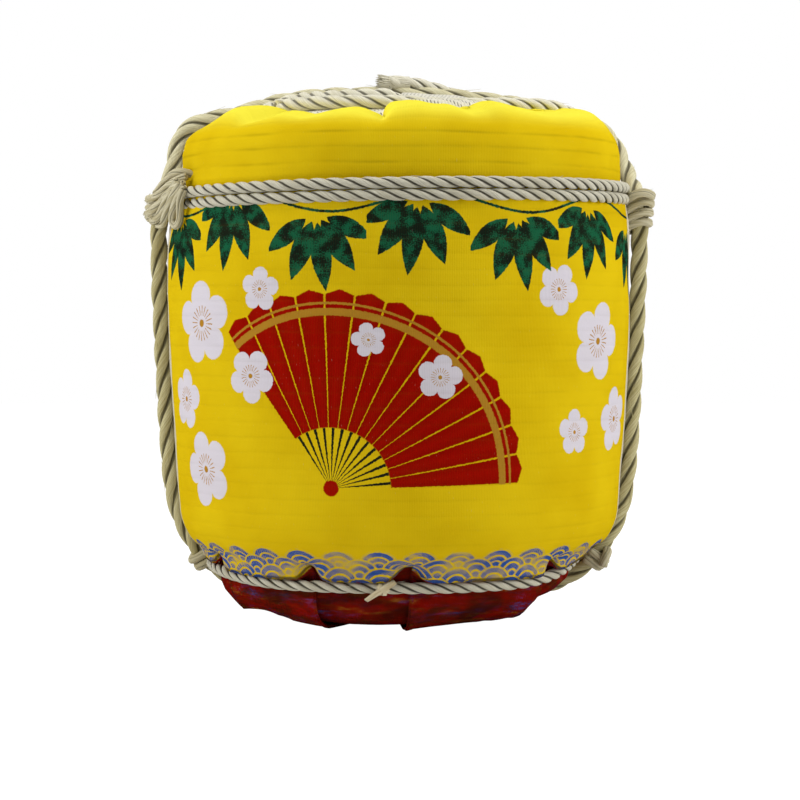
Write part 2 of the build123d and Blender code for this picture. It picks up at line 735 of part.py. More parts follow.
gather_radii = corner_radii(gather_points)
print("gather_rope: radii", [round(radius, 1) for radius in gather_radii])
with BuildLine() as gather_line:
    half_sweep = GATHER_SWEEP_DEGREES / 2
    CenterArc((0, 0, ring_z), gather_radius, GATHER_FROM_DEGREES, -half_sweep)
    CenterArc((0, 0, ring_z), gather_radius, GATHER_FROM_DEGREES - half_sweep, -half_sweep)
    FilletPolyline(*gather_points, radius=gather_radii)
gather_wire = gather_line.wires()[0]
with BuildPart() as gather_rope:
    tube(gather_wire, GIRTH_DIAMETER)
least_gap(gather_wire, GIRTH_DIAMETER, "gather_rope")
compare_volume(gather_rope.part, gather_wire, GIRTH_DIAMETER, "gather_rope")
write(gather_rope.part, "gather_rope")

tail_radius = gather_radius - GATHER_SPACING
with BuildLine() as tail_line:
    CenterArc((0, 0, dome_z(tail_radius, gather_lift)), tail_radius, TAIL_FROM_DEGREES, -TAIL_SWEEP_DEGREES)
tail_wire = tail_line.wires()[0]
with BuildPart() as gather_tail:
    tube(tail_wire, GIRTH_DIAMETER)
compare_volume(gather_tail.part, tail_wire, GIRTH_DIAMETER, "gather_tail")
write(gather_tail.part, "gather_tail")

# Flat twine knotted on the lower girth rope at the front
twine_inner = GIRTH_DIAMETER / 2 + CLEARANCE
with BuildPart() as twine_tie:
    with BuildSketch(Plane.YZ.offset(-TWINE_WIDTH / 2)):
        with Locations((-lower_girth_radius, lower_girth_z)):
            Circle(twine_inner + TWINE_THICKNESS)
            Circle(twine_inner, mode=Mode.SUBTRACT)
            with Locations((twine_inner + TWINE_THICKNESS, 0)):
                Rectangle(2 * twine_inner, 4 * twine_inner, mode=Mode.SUBTRACT)
    extrude(amount=TWINE_WIDTH)
    tail_y = -lower_girth_radius - twine_inner - TWINE_THICKNESS / 2
    for side in (-1, 1):
        with Locations(Location((side * TWINE_TAIL / 3, tail_y, lower_girth_z), (0, side * 35, 0))):
            Box(TWINE_TAIL, TWINE_THICKNESS, TWINE_WIDTH)
write(twine_tie.part, "twine_tie")
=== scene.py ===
"""Straw-wrapped sake cask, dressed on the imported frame.

Sizes are in millimetres up to the mesh, which is in metres. Z is up and the front faces -Y.
Angles round the cask are in degrees from the front, positive to the right.
"""

from __future__ import annotations

import logging
import math
from dataclasses import dataclass, field
from enum import Enum
from functools import reduce
from typing import Callable, Iterable, Sequence

import bpy
import numpy as np
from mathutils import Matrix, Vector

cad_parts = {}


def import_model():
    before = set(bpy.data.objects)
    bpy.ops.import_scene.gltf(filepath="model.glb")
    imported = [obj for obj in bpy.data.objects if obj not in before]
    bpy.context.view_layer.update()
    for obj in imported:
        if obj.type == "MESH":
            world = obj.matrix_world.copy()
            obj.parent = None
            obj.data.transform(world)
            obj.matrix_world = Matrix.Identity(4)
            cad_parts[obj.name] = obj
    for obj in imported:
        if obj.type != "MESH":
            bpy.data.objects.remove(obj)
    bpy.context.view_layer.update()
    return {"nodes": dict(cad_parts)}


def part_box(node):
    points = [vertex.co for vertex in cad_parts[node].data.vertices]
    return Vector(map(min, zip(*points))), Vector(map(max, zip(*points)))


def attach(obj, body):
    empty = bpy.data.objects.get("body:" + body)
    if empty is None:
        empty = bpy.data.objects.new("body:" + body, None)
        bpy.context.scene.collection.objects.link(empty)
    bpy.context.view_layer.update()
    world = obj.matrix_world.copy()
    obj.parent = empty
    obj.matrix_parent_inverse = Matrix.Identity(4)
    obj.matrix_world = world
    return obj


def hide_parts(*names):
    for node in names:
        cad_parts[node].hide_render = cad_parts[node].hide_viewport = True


log = logging.getLogger("sake_cask")

MM = 0.001
TAU = 2 * math.pi
Array = np.ndarray
Piece = bpy.types.Object
Material = bpy.types.Material
Color = tuple[float, float, float, float]
Point = tuple[float, float, float]
Pair = tuple[float, float]
Pairs = tuple[Pair, ...]
WHITE: Color = (1.0, 1.0, 1.0, 1.0)


class Body(str, Enum):
    """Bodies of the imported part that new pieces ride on."""

    BARREL = "barrel"
    CAP = "cap"


class Slot(str, Enum):
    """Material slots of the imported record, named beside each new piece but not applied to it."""

    BAMBOO = "bamboo"
    STRAW = "straw"
    MAT_PRINT = "mat_print"
    MAT_PLAIN = "mat_plain"
    ROPE_THIN = "rope_thin"
    ROPE_THICK = "rope_thick"
    TWINE = "twine"


class Lap(int, Enum):
    """Side of a pleat that lies on top."""

    LEFT = 1
    RIGHT = -1


def srgb(red: int, green: int, blue: int) -> Color:
    """Turn an 8-bit display colour into the linear colour that shaders take.

    Args:
        red: Red from 0 to 255.
        green: Green from 0 to 255.
        blue: Blue from 0 to 255.

    Returns:
        Linear red, green, blue and full alpha.
    """

    def channel(value: int) -> float:
        """Linear value of one channel."""
        share = value / 255
        return share / 12.92 if share <= 0.04045 else ((share + 0.055) / 1.055) ** 2.4

    return channel(red), channel(green), channel(blue), 1.0


def operator(operation: str, reflected: bool = False) -> Callable[[Value, Value | float], Value]:
    """Method of Value that adds a Math node on two values.

    Args:
        operation: Math operation.
        reflected: True where the other value is the left one.

    Returns:
        The method.
    """

    def method(self: Value, other: Value | float) -> Value:
        """Result of the operation."""
        return self.tree.math(operation, *((other, self) if reflected else (self, other)))

    return method


def function(operation: str) -> Callable[[Value], Value]:
    """Method of Value that adds a Math node on this value alone."""
    return lambda value: value.tree.math(operation, value)


class Value:
    """One output socket of a node, with arithmetic that adds Math nodes."""

    def __init__(self, tree: NodeTree, socket: bpy.types.NodeSocket) -> None:
        """Wrap a socket of a tree."""
        self.tree = tree
        self.socket = socket

    __add__ = operator("ADD")
    __radd__ = operator("ADD", reflected=True)
    __sub__ = operator("SUBTRACT")
    __rsub__ = operator("SUBTRACT", reflected=True)
    __mul__ = operator("MULTIPLY")
    __rmul__ = operator("MULTIPLY", reflected=True)
    __truediv__ = operator("DIVIDE")
    __rtruediv__ = operator("DIVIDE", reflected=True)
    __pow__ = operator("POWER")
    least = operator("MINIMUM")
    most = operator("MAXIMUM")
    __abs__ = function("ABSOLUTE")
    sin = function("SINE")
    root = function("SQRT")
    fract = function("FRACT")
    floor = function("FLOOR")

    def ramp(self, low: float, high: float) -> Value:
        """Smooth step from 0 at low to 1 at high."""
        inputs = {0: self, 1: low, 2: high, 3: 0.0, 4: 1.0}
        return self.tree.node("ShaderNodeMapRange", {"interpolation_type": "SMOOTHSTEP"}, inputs)

    def sibling(self, output: int | str) -> Value:
        """Another output of the same node."""
        return Value(self.tree, self.socket.node.outputs[output])


def union(masks: Iterable[Value]) -> Value:
    """Largest of several masks."""
    return reduce(Value.most, masks)


class NodeTree:
    """The nodes of a new material or world."""

    def __init__(self, owner: Material | bpy.types.World) -> None:
        """Take over the owner's nodes.

        Args:
            owner: Material or world whose nodes are used.
        """
        owner.use_nodes = True
        self.owner = owner
        self.nodes = owner.node_tree.nodes
        self.links = owner.node_tree.links

    def node(
        self,
        kind: str,
        settings: dict[str, object] | None = None,
        inputs: dict[int | str, object] | None = None,
        output: int | str = 0,
    ) -> Value:
        """Add a node, set it up and link it.

        Args:
            kind: Node type.
            settings: Node properties, set before the sockets.
            inputs: Values or links by socket name or number.
            output: Socket to return.

        Returns:
            The chosen output.
        """
        made = self.nodes.new(kind)
        for name, value in (settings or {}).items():
            setattr(made, name, value)
        return self._fill(made, inputs or {}, output)

    def given(self, name: str, inputs: dict[int | str, object]) -> Value:
        """Set up a node that a new tree already holds and return its first output."""
        return self._fill(self.nodes[name], inputs, 0)

    def _fill(self, made: bpy.types.Node, inputs: dict[int | str, object], output: int | str) -> Value:
        """Set or link a node's inputs.

        Args:
            made: The node.
            inputs: Values or links by socket.
            output: Output to return.

        Returns:
            The wrapped output.
        """
        for name, value in inputs.items():
            if isinstance(value, Value):
                self.links.new(value.socket, made.inputs[name])
            else:
                made.inputs[name].default_value = value
        return Value(self, made.outputs[output])

    def math(self, operation: str, *values: Value | float) -> Value:
        """Add a Math node on values or numbers."""
        return self.node("ShaderNodeMath", {"operation": operation}, dict(enumerate(values)))

    def mix(self, factor: Value | float, under: Value | Color, over: Value | Color) -> Value:
        """Blend two colours."""
        inputs = {0: factor, 6: under, 7: over}
        return self.node("ShaderNodeMix", {"data_type": "RGBA"}, inputs, 2)

    def vector(self, x: Value | float, y: Value | float, z: Value | float = 0.0) -> Value:
        """Join three values into a vector."""
        return self.node("ShaderNodeCombineXYZ", None, {0: x, 1: y, 2: z})

    def split(self, vector: Value) -> tuple[Value, Value, Value]:
        """Part a vector into its three values."""
        x = self.node("ShaderNodeSeparateXYZ", None, {0: vector})
        return x, x.sibling(1), x.sibling(2)

    def coordinates(self, output: str, scale: float = 1.0) -> tuple[Value, Value, Value]:
        """Object or UV coordinates, in metres times the scale."""
        place = {0: self.node("ShaderNodeTexCoord", None, None, output), "Scale": scale}
        return self.split(self.node("ShaderNodeVectorMath", {"operation": "SCALE"}, place))

    def noise(self, place: Value, scale: float, detail: float = 2.0, rough: float = 0.5) -> Value:
        """Noise from 0 to 1 at a place."""
        inputs = {"Vector": place, "Scale": scale, "Detail": detail, "Roughness": rough}
        return self.node("ShaderNodeTexNoise", None, inputs, 0)

    def random(self, value: Value) -> Value:
        """Random number from 0 to 1 for each whole value."""
        return self.node("ShaderNodeTexWhiteNoise", {"noise_dimensions": "1D"}, {"W": value}, 0)

    def bump(self, height: Value, distance: float, strength: float, normal: Value | None = None) -> Value:
        """Bump normal of a height whose full step is distance metres.

        Args:
            height: Height in steps.
            distance: Size of a step in metres.
            strength: Share of the bump that shows.
            normal: Normal to build on.

        Returns:
            The bumped normal.
        """
        inputs: dict[int | str, object] = {"Height": height, "Distance": distance, "Strength": strength}
        if normal is not None:
            inputs["Normal"] = normal
        return self.node("ShaderNodeBump", None, inputs)

    def surface(self, constants: dict[str, object], **links: Value) -> Material:
        """Set the shader's fixed values and link what varies.

        Args:
            constants: Socket name to fixed value.
            links: base_color, roughness or normal to its value.

        Returns:
            The finished material.
        """
        named = {name.replace("_", " ").title(): value for name, value in links.items()}
        self.given("Principled BSDF", {**constants, **named})
        return self.owner

    def seen_directly(self) -> Value:
        """1 on rays from the camera, straight on or by way of gloss or glass, and 0 on others."""
        camera = self.node("ShaderNodeLightPath", None, None, "Is Camera Ray")
        return camera.most(camera.sibling("Is Glossy Ray")).most(camera.sibling("Is Transmission Ray"))

    def end_in_mix(self, ending: str, factor: Value, under: Value, over: Value) -> None:
        """Blend two shaders into the tree's output node."""
        mixed = self.node("ShaderNodeMixShader", None, {0: factor, 1: under, 2: over})
        self.links.new(mixed.socket, self.nodes[ending].inputs[0])


@dataclass(frozen=True)
class Blossom:
    """A printed five-petal blossom: centre, radius and turn."""

    across: float
    up: float
    radius: float
    turn: float


@dataclass(frozen=True)
class Leaf:
    """A printed leaf in a spray: foot, direction, length and half width."""

    across: float
    up: float
    heading: float
    length: float
    half_width: float


@dataclass(frozen=True)
class PrintedMatFinish:
    """Woven mat with a printed front: a fan, blossoms, leaf sprays and a wave band."""

    lip_height: float
    print_reach: float = 252.0
    fan_pivot: Pair = (-52.0, 112.0)
    fan_heading: float = 64.0
    fan_spread: float = 126.0
    fan_folds: int = 14
    fan_reach: Pair = (46.0, 150.0)
    spray_pitch: float = 76.0
    spray_height: float = 322.0
    scale_radius: float = 17.0
    thread_pitch: float = 2.1
    rib_pitch: float = 11.6
    reed_pitch: float = 1.3
    yellow: Color = srgb(225, 193, 20)
    yellow_deep: Color = srgb(214, 179, 13)
    # Lemon yellow of the painted highlight on the shoulder's crest.
    painted_crest_highlight: Color = srgb(248, 238, 74)
    red: Color = srgb(156, 7, 4)
    red_fold: Color = srgb(140, 5, 3)
    white: Color = srgb(216, 210, 218)
    blue: Color = srgb(44, 82, 156)
    leaf_dark: Color = srgb(14, 30, 24)
    leaf_light: Color = srgb(18, 92, 62)
    ochre: Color = srgb(176, 128, 40)
    skirt: Color = srgb(128, 12, 8)
    # Black of the skirt's dry-brush print, also used for the painted shadow line at the lip.
    black_ink_and_shadow: Color = srgb(26, 14, 12)
    bare: Color = srgb(214, 207, 186)
    bare_shade: Color = srgb(186, 178, 152)
    # Thread colour of the weave and seam, also used for painted shade in creases and weave slits.
    thread_and_shade: Color = srgb(112, 80, 4)
    blossoms: tuple[Blossom, ...] = (
        Blossom(-172, 236, 33, 0.2), Blossom(-118, 196, 21, 0.9), Blossom(-206, 176, 24, 0.5),
        Blossom(-176, 122, 30, 0.0), Blossom(-108, 262, 17, 0.4), Blossom(176, 222, 31, 0.6),
        Blossom(214, 160, 26, 0.1), Blossom(150, 152, 18, 0.3), Blossom(128, 262, 20, 0.8),
        Blossom(30, 196, 17, 0.5), Blossom(-22, 224, 13, 0.1),
    )
    spray: tuple[Leaf, ...] = (
        Leaf(-4, 4, 236, 46, 8.5), Leaf(-1, 2, 262, 52, 8.0), Leaf(3, 3, 290, 47, 8.5),
        Leaf(8, 5, 322, 40, 7.5), Leaf(-8, 6, 205, 38, 7.0),
    )

    def material(self) -> Material:
        """Build the mat's material.

        Returns:
            The material, reading the sheet's UV map in metres of flat mat.
        """
        tree = NodeTree(bpy.data.materials.new("printed_mat"))
        u, v, _ = tree.coordinates("UV", 1 / MM)
        flat = tree.vector(u, v)
        wobble = tree.noise(flat, 0.55, 1.0) - 0.5
        across = u + wobble * 1.2
        up = v + (tree.noise(tree.vector(v, u), 0.55, 1.0) - 0.5) * 1.2
        grain = tree.noise(tree.vector(u * 0.9, v * 0.28), 1.0, 2.0)
        cloud = tree.noise(flat, 0.014, 3.0)

        color = tree.mix(cloud.ramp(0.3, 0.75), self.yellow, self.yellow_deep)
        for motif in (self._wave_band, self._fan, self._blossoms, self._sprays):
            color = motif(tree, color, across, up)
        color = self._skirt(tree, color, across, up, grain)
        color = tree.mix(grain.ramp(0.68, 0.8) * 0.14, color, self.bare)

        straw = tree.noise(tree.vector(u * 0.5, v * 0.06), 1.0, 3.0)
        tied_in = v.ramp(338.0, 346.0) + (self.lip_height + 2.0 - v).ramp(0.0, 6.0)
        margin = abs(across) - self.print_reach - tied_in * 14.0
        printed = 1 - margin.ramp(-0.8, 0.8)
        color = tree.mix(printed, tree.mix(straw, self.bare_shade, self.bare), color)

        sag = tree.noise(tree.vector(u * 0.011, v * 0.03), 1.0, 2.0)
        rib = abs(((v + sag * 4.0) * (math.pi / self.rib_pitch)).sin())
        reed = (u * (TAU / self.reed_pitch)).sin()
        uneven = tree.noise(tree.vector(u * 0.02, v * 0.07 + 30.0), 1.0, 2.0)
        # Painted shade in the creases between the ribs, stronger on the shoulder.
        crease_shade = (1 - rib.ramp(0.0, 0.5)) * uneven.ramp(0.3, 0.75)
        shoulder = v.ramp(346.0, 354.0) * (1 - v.ramp(382.0, 396.0))
        # Painted crease shade plus the weave's thread lines, mixed in the thread colour below.
        shade = crease_shade * (0.07 + 0.2 * shoulder) + (0.5 + 0.5 * reed) * 0.16 * uneven
        color = tree.mix(shade, color, self.thread_and_shade)
        # Painted highlight: the top of the shoulder turns lemon yellow, standing in for light on the crest.
        color = tree.mix(v.ramp(385.0, 410.0) * printed * 0.8, color, self.painted_crest_highlight)
        selvage = (1.1 - abs(margin + 5.0)).ramp(0.0, 0.8)
        color = tree.mix(selvage * 0.3, color, self.thread_and_shade)
        normal = tree.bump(rib.least(0.7) + wobble * 0.4, 0.0006, 0.5)
        normal = tree.bump(reed * 0.5 + grain, 0.00018, 0.5, normal)
        rough = 0.42 + grain * 0.2
        return tree.surface({"Specular IOR Level": 0.0}, base_color=color, roughness=rough, normal=normal)

    def _weave(self, across: Value, up: Value) -> Value:
        """Crossing threads of the weave, from -1 to 1."""
        pitch = TAU / self.thread_pitch
        return (across * pitch).sin() * (up * pitch).sin()

    def _fan(self, tree: NodeTree, color: Value, across: Value, up: Value) -> Value:
        """Lay a large open folding fan over the colour.

        Args:
            tree: Tree of the material.
            color: Colour under the print.
            across: Place across the mat.
            up: Height on the mat.

        Returns:
            The printed colour.
        """
        x = across - self.fan_pivot[0]
        y = up - self.fan_pivot[1]
        inner, outer = self.fan_reach
        spread = self.fan_spread
        radius = (x * x + y * y).root()
        angle = tree.math("ARCTAN2", y, x) * (180 / math.pi) - (self.fan_heading - spread / 2)
        inside = angle.ramp(-0.3, 0.3) * (1 - angle.ramp(spread - 0.3, spread + 0.3))
        ridge = abs((angle * (self.fan_folds / spread)).fract() - 0.5) * 2.0
        rim = outer - ridge * 4.0
        within = (radius - inner).ramp(-0.5, 0.5)
        leaf = inside * within * (1 - (radius - rim).ramp(-0.5, 0.5))
        facet = tree.mix(ridge, self.red, self.red_fold)
        facet = tree.mix((0.06 - abs(ridge - 0.97)).ramp(0.0, 0.05), facet, self.yellow_deep)
        band = (3.2 - abs(radius - (outer - 17.0))).ramp(0.0, 0.8)
        band = band.most((1.2 - abs(radius - (outer - 10.5))).ramp(0.0, 0.6))
        facet = tree.mix(band, facet, self.ochre)
        color = tree.mix(leaf, color, facet)
        stick = (0.2 - abs(ridge - 0.15)).ramp(0.0, 0.06) * inside
        stick = stick * (radius - 6.0).ramp(-0.5, 0.5) * (1 - within)
        color = tree.mix(stick, color, self.leaf_dark)
        rivet = (6.5 - radius).ramp(0.0, 0.8)
        return tree.mix(rivet, color, self.red)

    def _blossoms(self, tree: NodeTree, color: Value, across: Value, up: Value) -> Value:
        """Scatter pale blossoms over the colour.

        Args:
            tree: Tree of the material.
            color: Colour under the print.
            across: Place across the mat.
            up: Height on the mat.

        Returns:
            The printed colour.
        """
        petals = []
        hearts = []
        for blossom in self.blossoms:
            x = across - blossom.across
            y = up - blossom.up
            share = (x * x + y * y).root() / blossom.radius
            turn = tree.math("ARCTAN2", y, x) + blossom.turn
            lobe = abs((turn * 2.5).sin()) ** 0.55
            petals.append((0.6 + 0.4 * lobe - share).ramp(-0.015, 0.015))
            rays = abs((turn * 10.0).sin()).ramp(0.9, 0.97) * (1 - abs(share - 0.3).ramp(0.1, 0.13))
            hearts.append(rays.most((0.1 - share).ramp(0.0, 0.02)))
        color = tree.mix(union(petals), color, self.white)
        return tree.mix(union(hearts), color, self.ochre)

    def _sprays(self, tree: NodeTree, color: Value, across: Value, up: Value) -> Value:
        """Hang leaf sprays under the upper ropes.

        Args:
            tree: Tree of the material.
            color: Colour under the print.
            across: Place across the mat.
            up: Height on the mat.

        Returns:
            The printed colour.
        """
        cell = self.spray_pitch
        step = across / cell + 0.31
        index = step.floor()
        odd = (index * 0.5).fract() * 2.0
        x = (step.fract() - 0.5) * cell * (1 - 2 * odd)
        y = up - self.spray_height + odd * 15.0 + (tree.random(index) - 0.5) * 8.0
        stem = (across * (TAU / (2 * cell)) + 0.5).sin() * 7.0 + (self.spray_height + 5.0)
        masks = [(1.3 - abs(up - stem)).ramp(0.0, 0.5)]
        for leaf in self.spray:
            turn = math.radians(leaf.heading)
            dx = x - leaf.across
            dy = y - leaf.up
            along = ((dx * math.cos(turn) + dy * math.sin(turn)) / leaf.length).least(1.3)
            aside = dy * math.cos(turn) - dx * math.sin(turn)
            edge = along * (1 - along) * (4.6 - 1.4 * along) * leaf.half_width - abs(aside)
            masks.append(edge.ramp(-0.3, 0.3))
        patch = tree.noise(tree.vector(across, up), 0.1, 1.0)
        speck = tree.noise(tree.vector(across, up, 9.0), 0.9, 2.0)
        mottle = (patch * 0.55 + speck * 0.45).ramp(0.44, 0.58)
        return tree.mix(union(masks), color, tree.mix(mottle, self.leaf_dark, self.leaf_light))

    def _wave_band(self, tree: NodeTree, color: Value, across: Value, up: Value) -> Value:
        """Print rows of wave scales along the foot, rubbed thin by the weave, and paint a shadow line along
        the lip's edge.

        Args:
            tree: Tree of the material.
            color: Colour under the print.
            across: Place across the mat.
            up: Height on the mat.

        Returns:
            The printed colour.
        """
        size = self.scale_radius
        top = self.lip_height + 3.5 * size / 2
        row = ((up - top) / (size / 2)).floor()

        def scale(line: Value) -> tuple[Value, Value]:
            """Share of the radius from the scales' centres in a row, and whether the row is printed.

            Args:
                line: Number of the row.

            Returns:
                The share, and 1 where the row is printed.
            """
            x = ((across / (2 * size) + (line * 0.5).fract()).fract() - 0.5) * (2 * size)
            y = up - top - line * (size / 2)
            return (x * x + y * y).root() / size, (-1.5 - line).ramp(-0.01, 0.01)

        upper, upper_row = scale(row)
        lower, lower_row = scale(row - 1.0)
        inside = (1.0 - lower).ramp(-0.02, 0.02)
        rings = lower * inside + upper * (1 - inside)
        crown = upper_row.most(inside * lower_row)
        ring = abs((rings * 3.0 + 0.12).fract() - 0.5).ramp(0.33, 0.4)
        worn = tree.noise(tree.vector(across * 0.026, up * 0.05), 1.0, 3.0) + self._weave(across, up) * 0.15
        ink = crown * (1 - ring) * (1 - worn.ramp(0.5, 0.62) * 0.9)
        color = tree.mix(ink, color, self.blue)
        # Painted shadow: a dark line along the lip's edge, broken up by the wear.
        hem = (2.4 - abs(up - self.lip_height - 1.0)).ramp(0.0, 1.6) * worn.ramp(0.34, 0.5)
        return tree.mix(hem * 0.75, color, self.black_ink_and_shadow)

    def _skirt(self, tree: NodeTree, color: Value, across: Value, up: Value, grain: Value) -> Value:
        """Turn the mat dark red below the lip, with dry-brush streaks.

        Args:
            tree: Tree of the material.
            color: Colour under the print.
            across: Place across the mat.
            up: Height on the mat.
            grain: Uneven tone of the fibres.

        Returns:
            The printed colour.
        """
        ragged = tree.noise(tree.vector(across * 0.12, up * 0.25), 1.0, 3.0)
        below = (self.lip_height - 0.5 + (ragged - 0.5) * 6.0 - up).ramp(-0.5, 0.8)
        weave = self._weave(across, up) * 0.12
        ground = tree.mix(grain, self.skirt, self.red_fold)
        brushes = (
            (0.026, 0.1, 40.0, 0.57, self.blue),
            (0.022, 0.14, 80.0, 0.59, self.ochre),
            (0.018, 0.05, 0.0, 0.46, self.black_ink_and_shadow),
        )
        for wide, tall, shift, level, ink in brushes:
            streak = tree.noise(tree.vector(across * wide + shift, up * tall), 1.0, 5.0, 0.7) + weave
            ground = tree.mix(streak.ramp(level, level + 0.08) * 0.8, ground, ink)
        return tree.mix(below, color, ground)


@dataclass(frozen=True)
class PlainMatFinish:
    """Pale unprinted woven mat."""

    light: Color = srgb(238, 235, 222)
    shade: Color = srgb(206, 200, 180)
    thread_and_shade: Color = srgb(104, 96, 84)

    def material(self) -> Material:
        """Build the material on the sheet's UV map in metres.

        Returns:
            The material.
        """
        tree = NodeTree(bpy.data.materials.new("plain_mat"))
        u, v, _ = tree.coordinates("UV", 1 / MM)
        reed = tree.noise(tree.vector(u * 0.7, v * 0.05), 1.0, 2.0)
        color = tree.mix(reed, self.shade, self.light)
        row = (v * (TAU / 5.4)).sin()
        weft = ((u + v * 0.42) * (TAU / 2.9)).sin()
        # Painted shade in the weave's slits, which the bump also sinks.
        slit = weft.ramp(0.45, 0.85) * row.ramp(0.05, 0.6)
        color = tree.mix(slit * 0.85, color, self.thread_and_shade)
        normal = tree.bump(reed * 0.3 - slit + row * 0.25 - weft * 0.3, 0.0007, 0.9)
        return tree.surface({"Roughness": 0.75, "Specular IOR Level": 0.1}, base_color=color, normal=normal)


@dataclass(frozen=True)
class RopeFinish:
    """Twisted straw rope: fibres along each strand, patches along the rope, and painted shade in the
    grooves between strands.
    """

    name: str
    light: Color
    middle: Color
    dark: Color
    fibres: float = 24.0
    slant: float = 260.0
    # Colour of the painted shade in the grooves between strands.
    groove: Color = srgb(44, 37, 22)
    groove_depth: float = 0.85

    def material(self) -> Material:
        """Build the material on the strands' UV map, turns across and metres along.

        Returns:
            The material.
        """
        tree = NodeTree(bpy.data.materials.new(self.name))
        turn, along, _ = tree.coordinates("UV")
        lane = turn * self.fibres - along * self.slant
        fibre = tree.noise(tree.vector(lane, along * 26.0, turn.floor() * 7.0), 1.0, 3.0, 0.6)
        fine = tree.noise(tree.vector(lane * 2.6, along * 60.0), 1.0, 2.0)
        x, y, z = tree.coordinates("Object")
        patch = tree.noise(tree.vector(x, y, z), 34.0, 2.0)
        color = tree.mix(fibre.ramp(0.32, 0.62), self.middle, self.light)
        color = tree.mix(patch.ramp(0.5, 0.72) * 0.55, color, self.middle)
        color = tree.mix(fine.ramp(0.58, 0.74) * 0.35, color, self.dark)
        # Painted shade: darkens each strand's inner side, in the grooves between strands.
        groove = abs(turn.fract() - 0.5).ramp(0.19, 0.27)
        color = tree.mix(groove * self.groove_depth, color, self.groove)
        normal = tree.bump(fibre + fine * 0.4, 0.0006, 0.6)
        rough = 0.6 + fibre * 0.25
        return tree.surface({"Specular IOR Level": 0.15}, base_color=color, roughness=rough, normal=normal)


@dataclass(frozen=True)
class StrawFinish:
    """Loose rice straw, stalk by stalk."""

    light: Color = srgb(222, 198, 128)
    middle: Color = srgb(186, 156, 84)
    dark: Color = srgb(120, 92, 42)

    def material(self) -> Material:
        """Build the material on the stalks' UV map, turns across and metres along.

        Returns:
            The material.
        """
        tree = NodeTree(bpy.data.materials.new("rice_straw"))
        turn, along, _ = tree.coordinates("UV")
        lane = tree.noise(tree.vector(turn * 30.0, along * 9.0), 1.0, 3.0)
        fine = tree.noise(tree.vector(turn * 90.0, along * 22.0), 1.0, 2.0)
        color = tree.mix(lane.ramp(0.3, 0.68), self.middle, self.light)
        color = tree.mix(fine.ramp(0.56, 0.72) * 0.7, color, self.dark)
        normal = tree.bump(lane + fine * 0.6, 0.0008, 0.7)
        return tree.surface({"Roughness": 0.5, "Specular IOR Level": 0.4}, base_color=color, normal=normal)


class Grain(Enum):
    """Direction of the wood's fibres."""

    UPRIGHT = "upright"
    ACROSS = "across"


@dataclass(frozen=True)
class CedarFinish:
    """Planed cedar with its growth rings and a colour of its own for each board."""

    grain: Grain
    boards: float
    pale: Color = srgb(226, 186, 138)
    rosy: Color = srgb(198, 140, 96)
    ring: Color = srgb(150, 92, 56)

    def material(self) -> Material:
        """Build the material on Object coordinates in metres.

        Returns:
            The material.
        """
        tree = NodeTree(bpy.data.materials.new(f"cedar_{self.grain.value}"))
        x, y, z = tree.coordinates("Object")
        if self.grain is Grain.UPRIGHT:
            board = (tree.math("ARCTAN2", x, y) * (self.boards / TAU) + 0.5).floor()
            side = tree.math("ARCTAN2", x, y) * 0.16
            depth = (x * x + y * y).root()
            length = z
        else:
            board = (y * self.boards).floor()
            side = y
            depth = z
            length = x
        own = tree.random(board)
        bow = tree.noise(tree.vector(side * 5.0 + own * 9.0, length * 2.2, depth * 4.0), 1.0, 2.0)
        rings = abs(((side + depth * 0.6 + bow * 0.03) * 170.0 + own * 5.0).fract() - 0.5) * 2.0
        pores = tree.noise(tree.vector(side * 900.0, length * 16.0, depth * 900.0), 1.0, 3.0)
        color = tree.mix(own, self.pale, self.rosy)
        color = tree.mix(rings.ramp(0.62, 0.98) * 0.65, color, self.ring)
        color = tree.mix(pores.ramp(0.52, 0.7) * 0.35, color, self.ring)
        normal = tree.bump(pores * 0.7 + rings * 0.5, 0.0005, 0.5)
        rough = 0.5 + pores * 0.2
        return tree.surface({"Specular IOR Level": 0.3}, base_color=color, roughness=rough, normal=normal)


@dataclass(frozen=True)
class BambooFinish:
    """Split bamboo: smooth skin with fine lengthwise lines."""

    green: Color = srgb(176, 166, 96)
    tan: Color = srgb(208, 178, 112)
    line: Color = srgb(122, 92, 44)

    def material(self) -> Material:
        """Build the material on the strips' UV map, turns across and metres along.

        Returns:
            The material.
        """
        tree = NodeTree(bpy.data.materials.new("split_bamboo"))
        turn, along, _ = tree.coordinates("UV")
        lane = tree.noise(tree.vector(turn * 26.0, along * 7.0), 1.0, 3.0)
        color = tree.mix(lane.ramp(0.35, 0.65), self.green, self.tan)
        color = tree.mix(lane.ramp(0.66, 0.74), color, self.line)
        normal = tree.bump(lane, 0.0004, 0.5)
        return tree.surface({"Roughness": 0.38, "Specular IOR Level": 0.5}, base_color=color, normal=normal)


@dataclass(frozen=True)
class DowelFinish:
    """Bamboo dowels and their end grain, on Object coordinates."""

    tan: Color = srgb(206, 174, 106)
    line: Color = srgb(132, 100, 50)

    def material(self) -> Material:
        """Build the material.

        Returns:
            The material.
        """
        tree = NodeTree(bpy.data.materials.new("bamboo_dowel"))
        x, y, z = tree.coordinates("Object")
        lane = tree.noise(tree.vector(x * 900.0, y * 30.0, z * 900.0), 1.0, 2.0)
        color = tree.mix(lane.ramp(0.4, 0.7), self.tan, self.line)
        normal = tree.bump(lane, 0.0003, 0.5)
        return tree.surface({"Roughness": 0.45}, base_color=color, normal=normal)


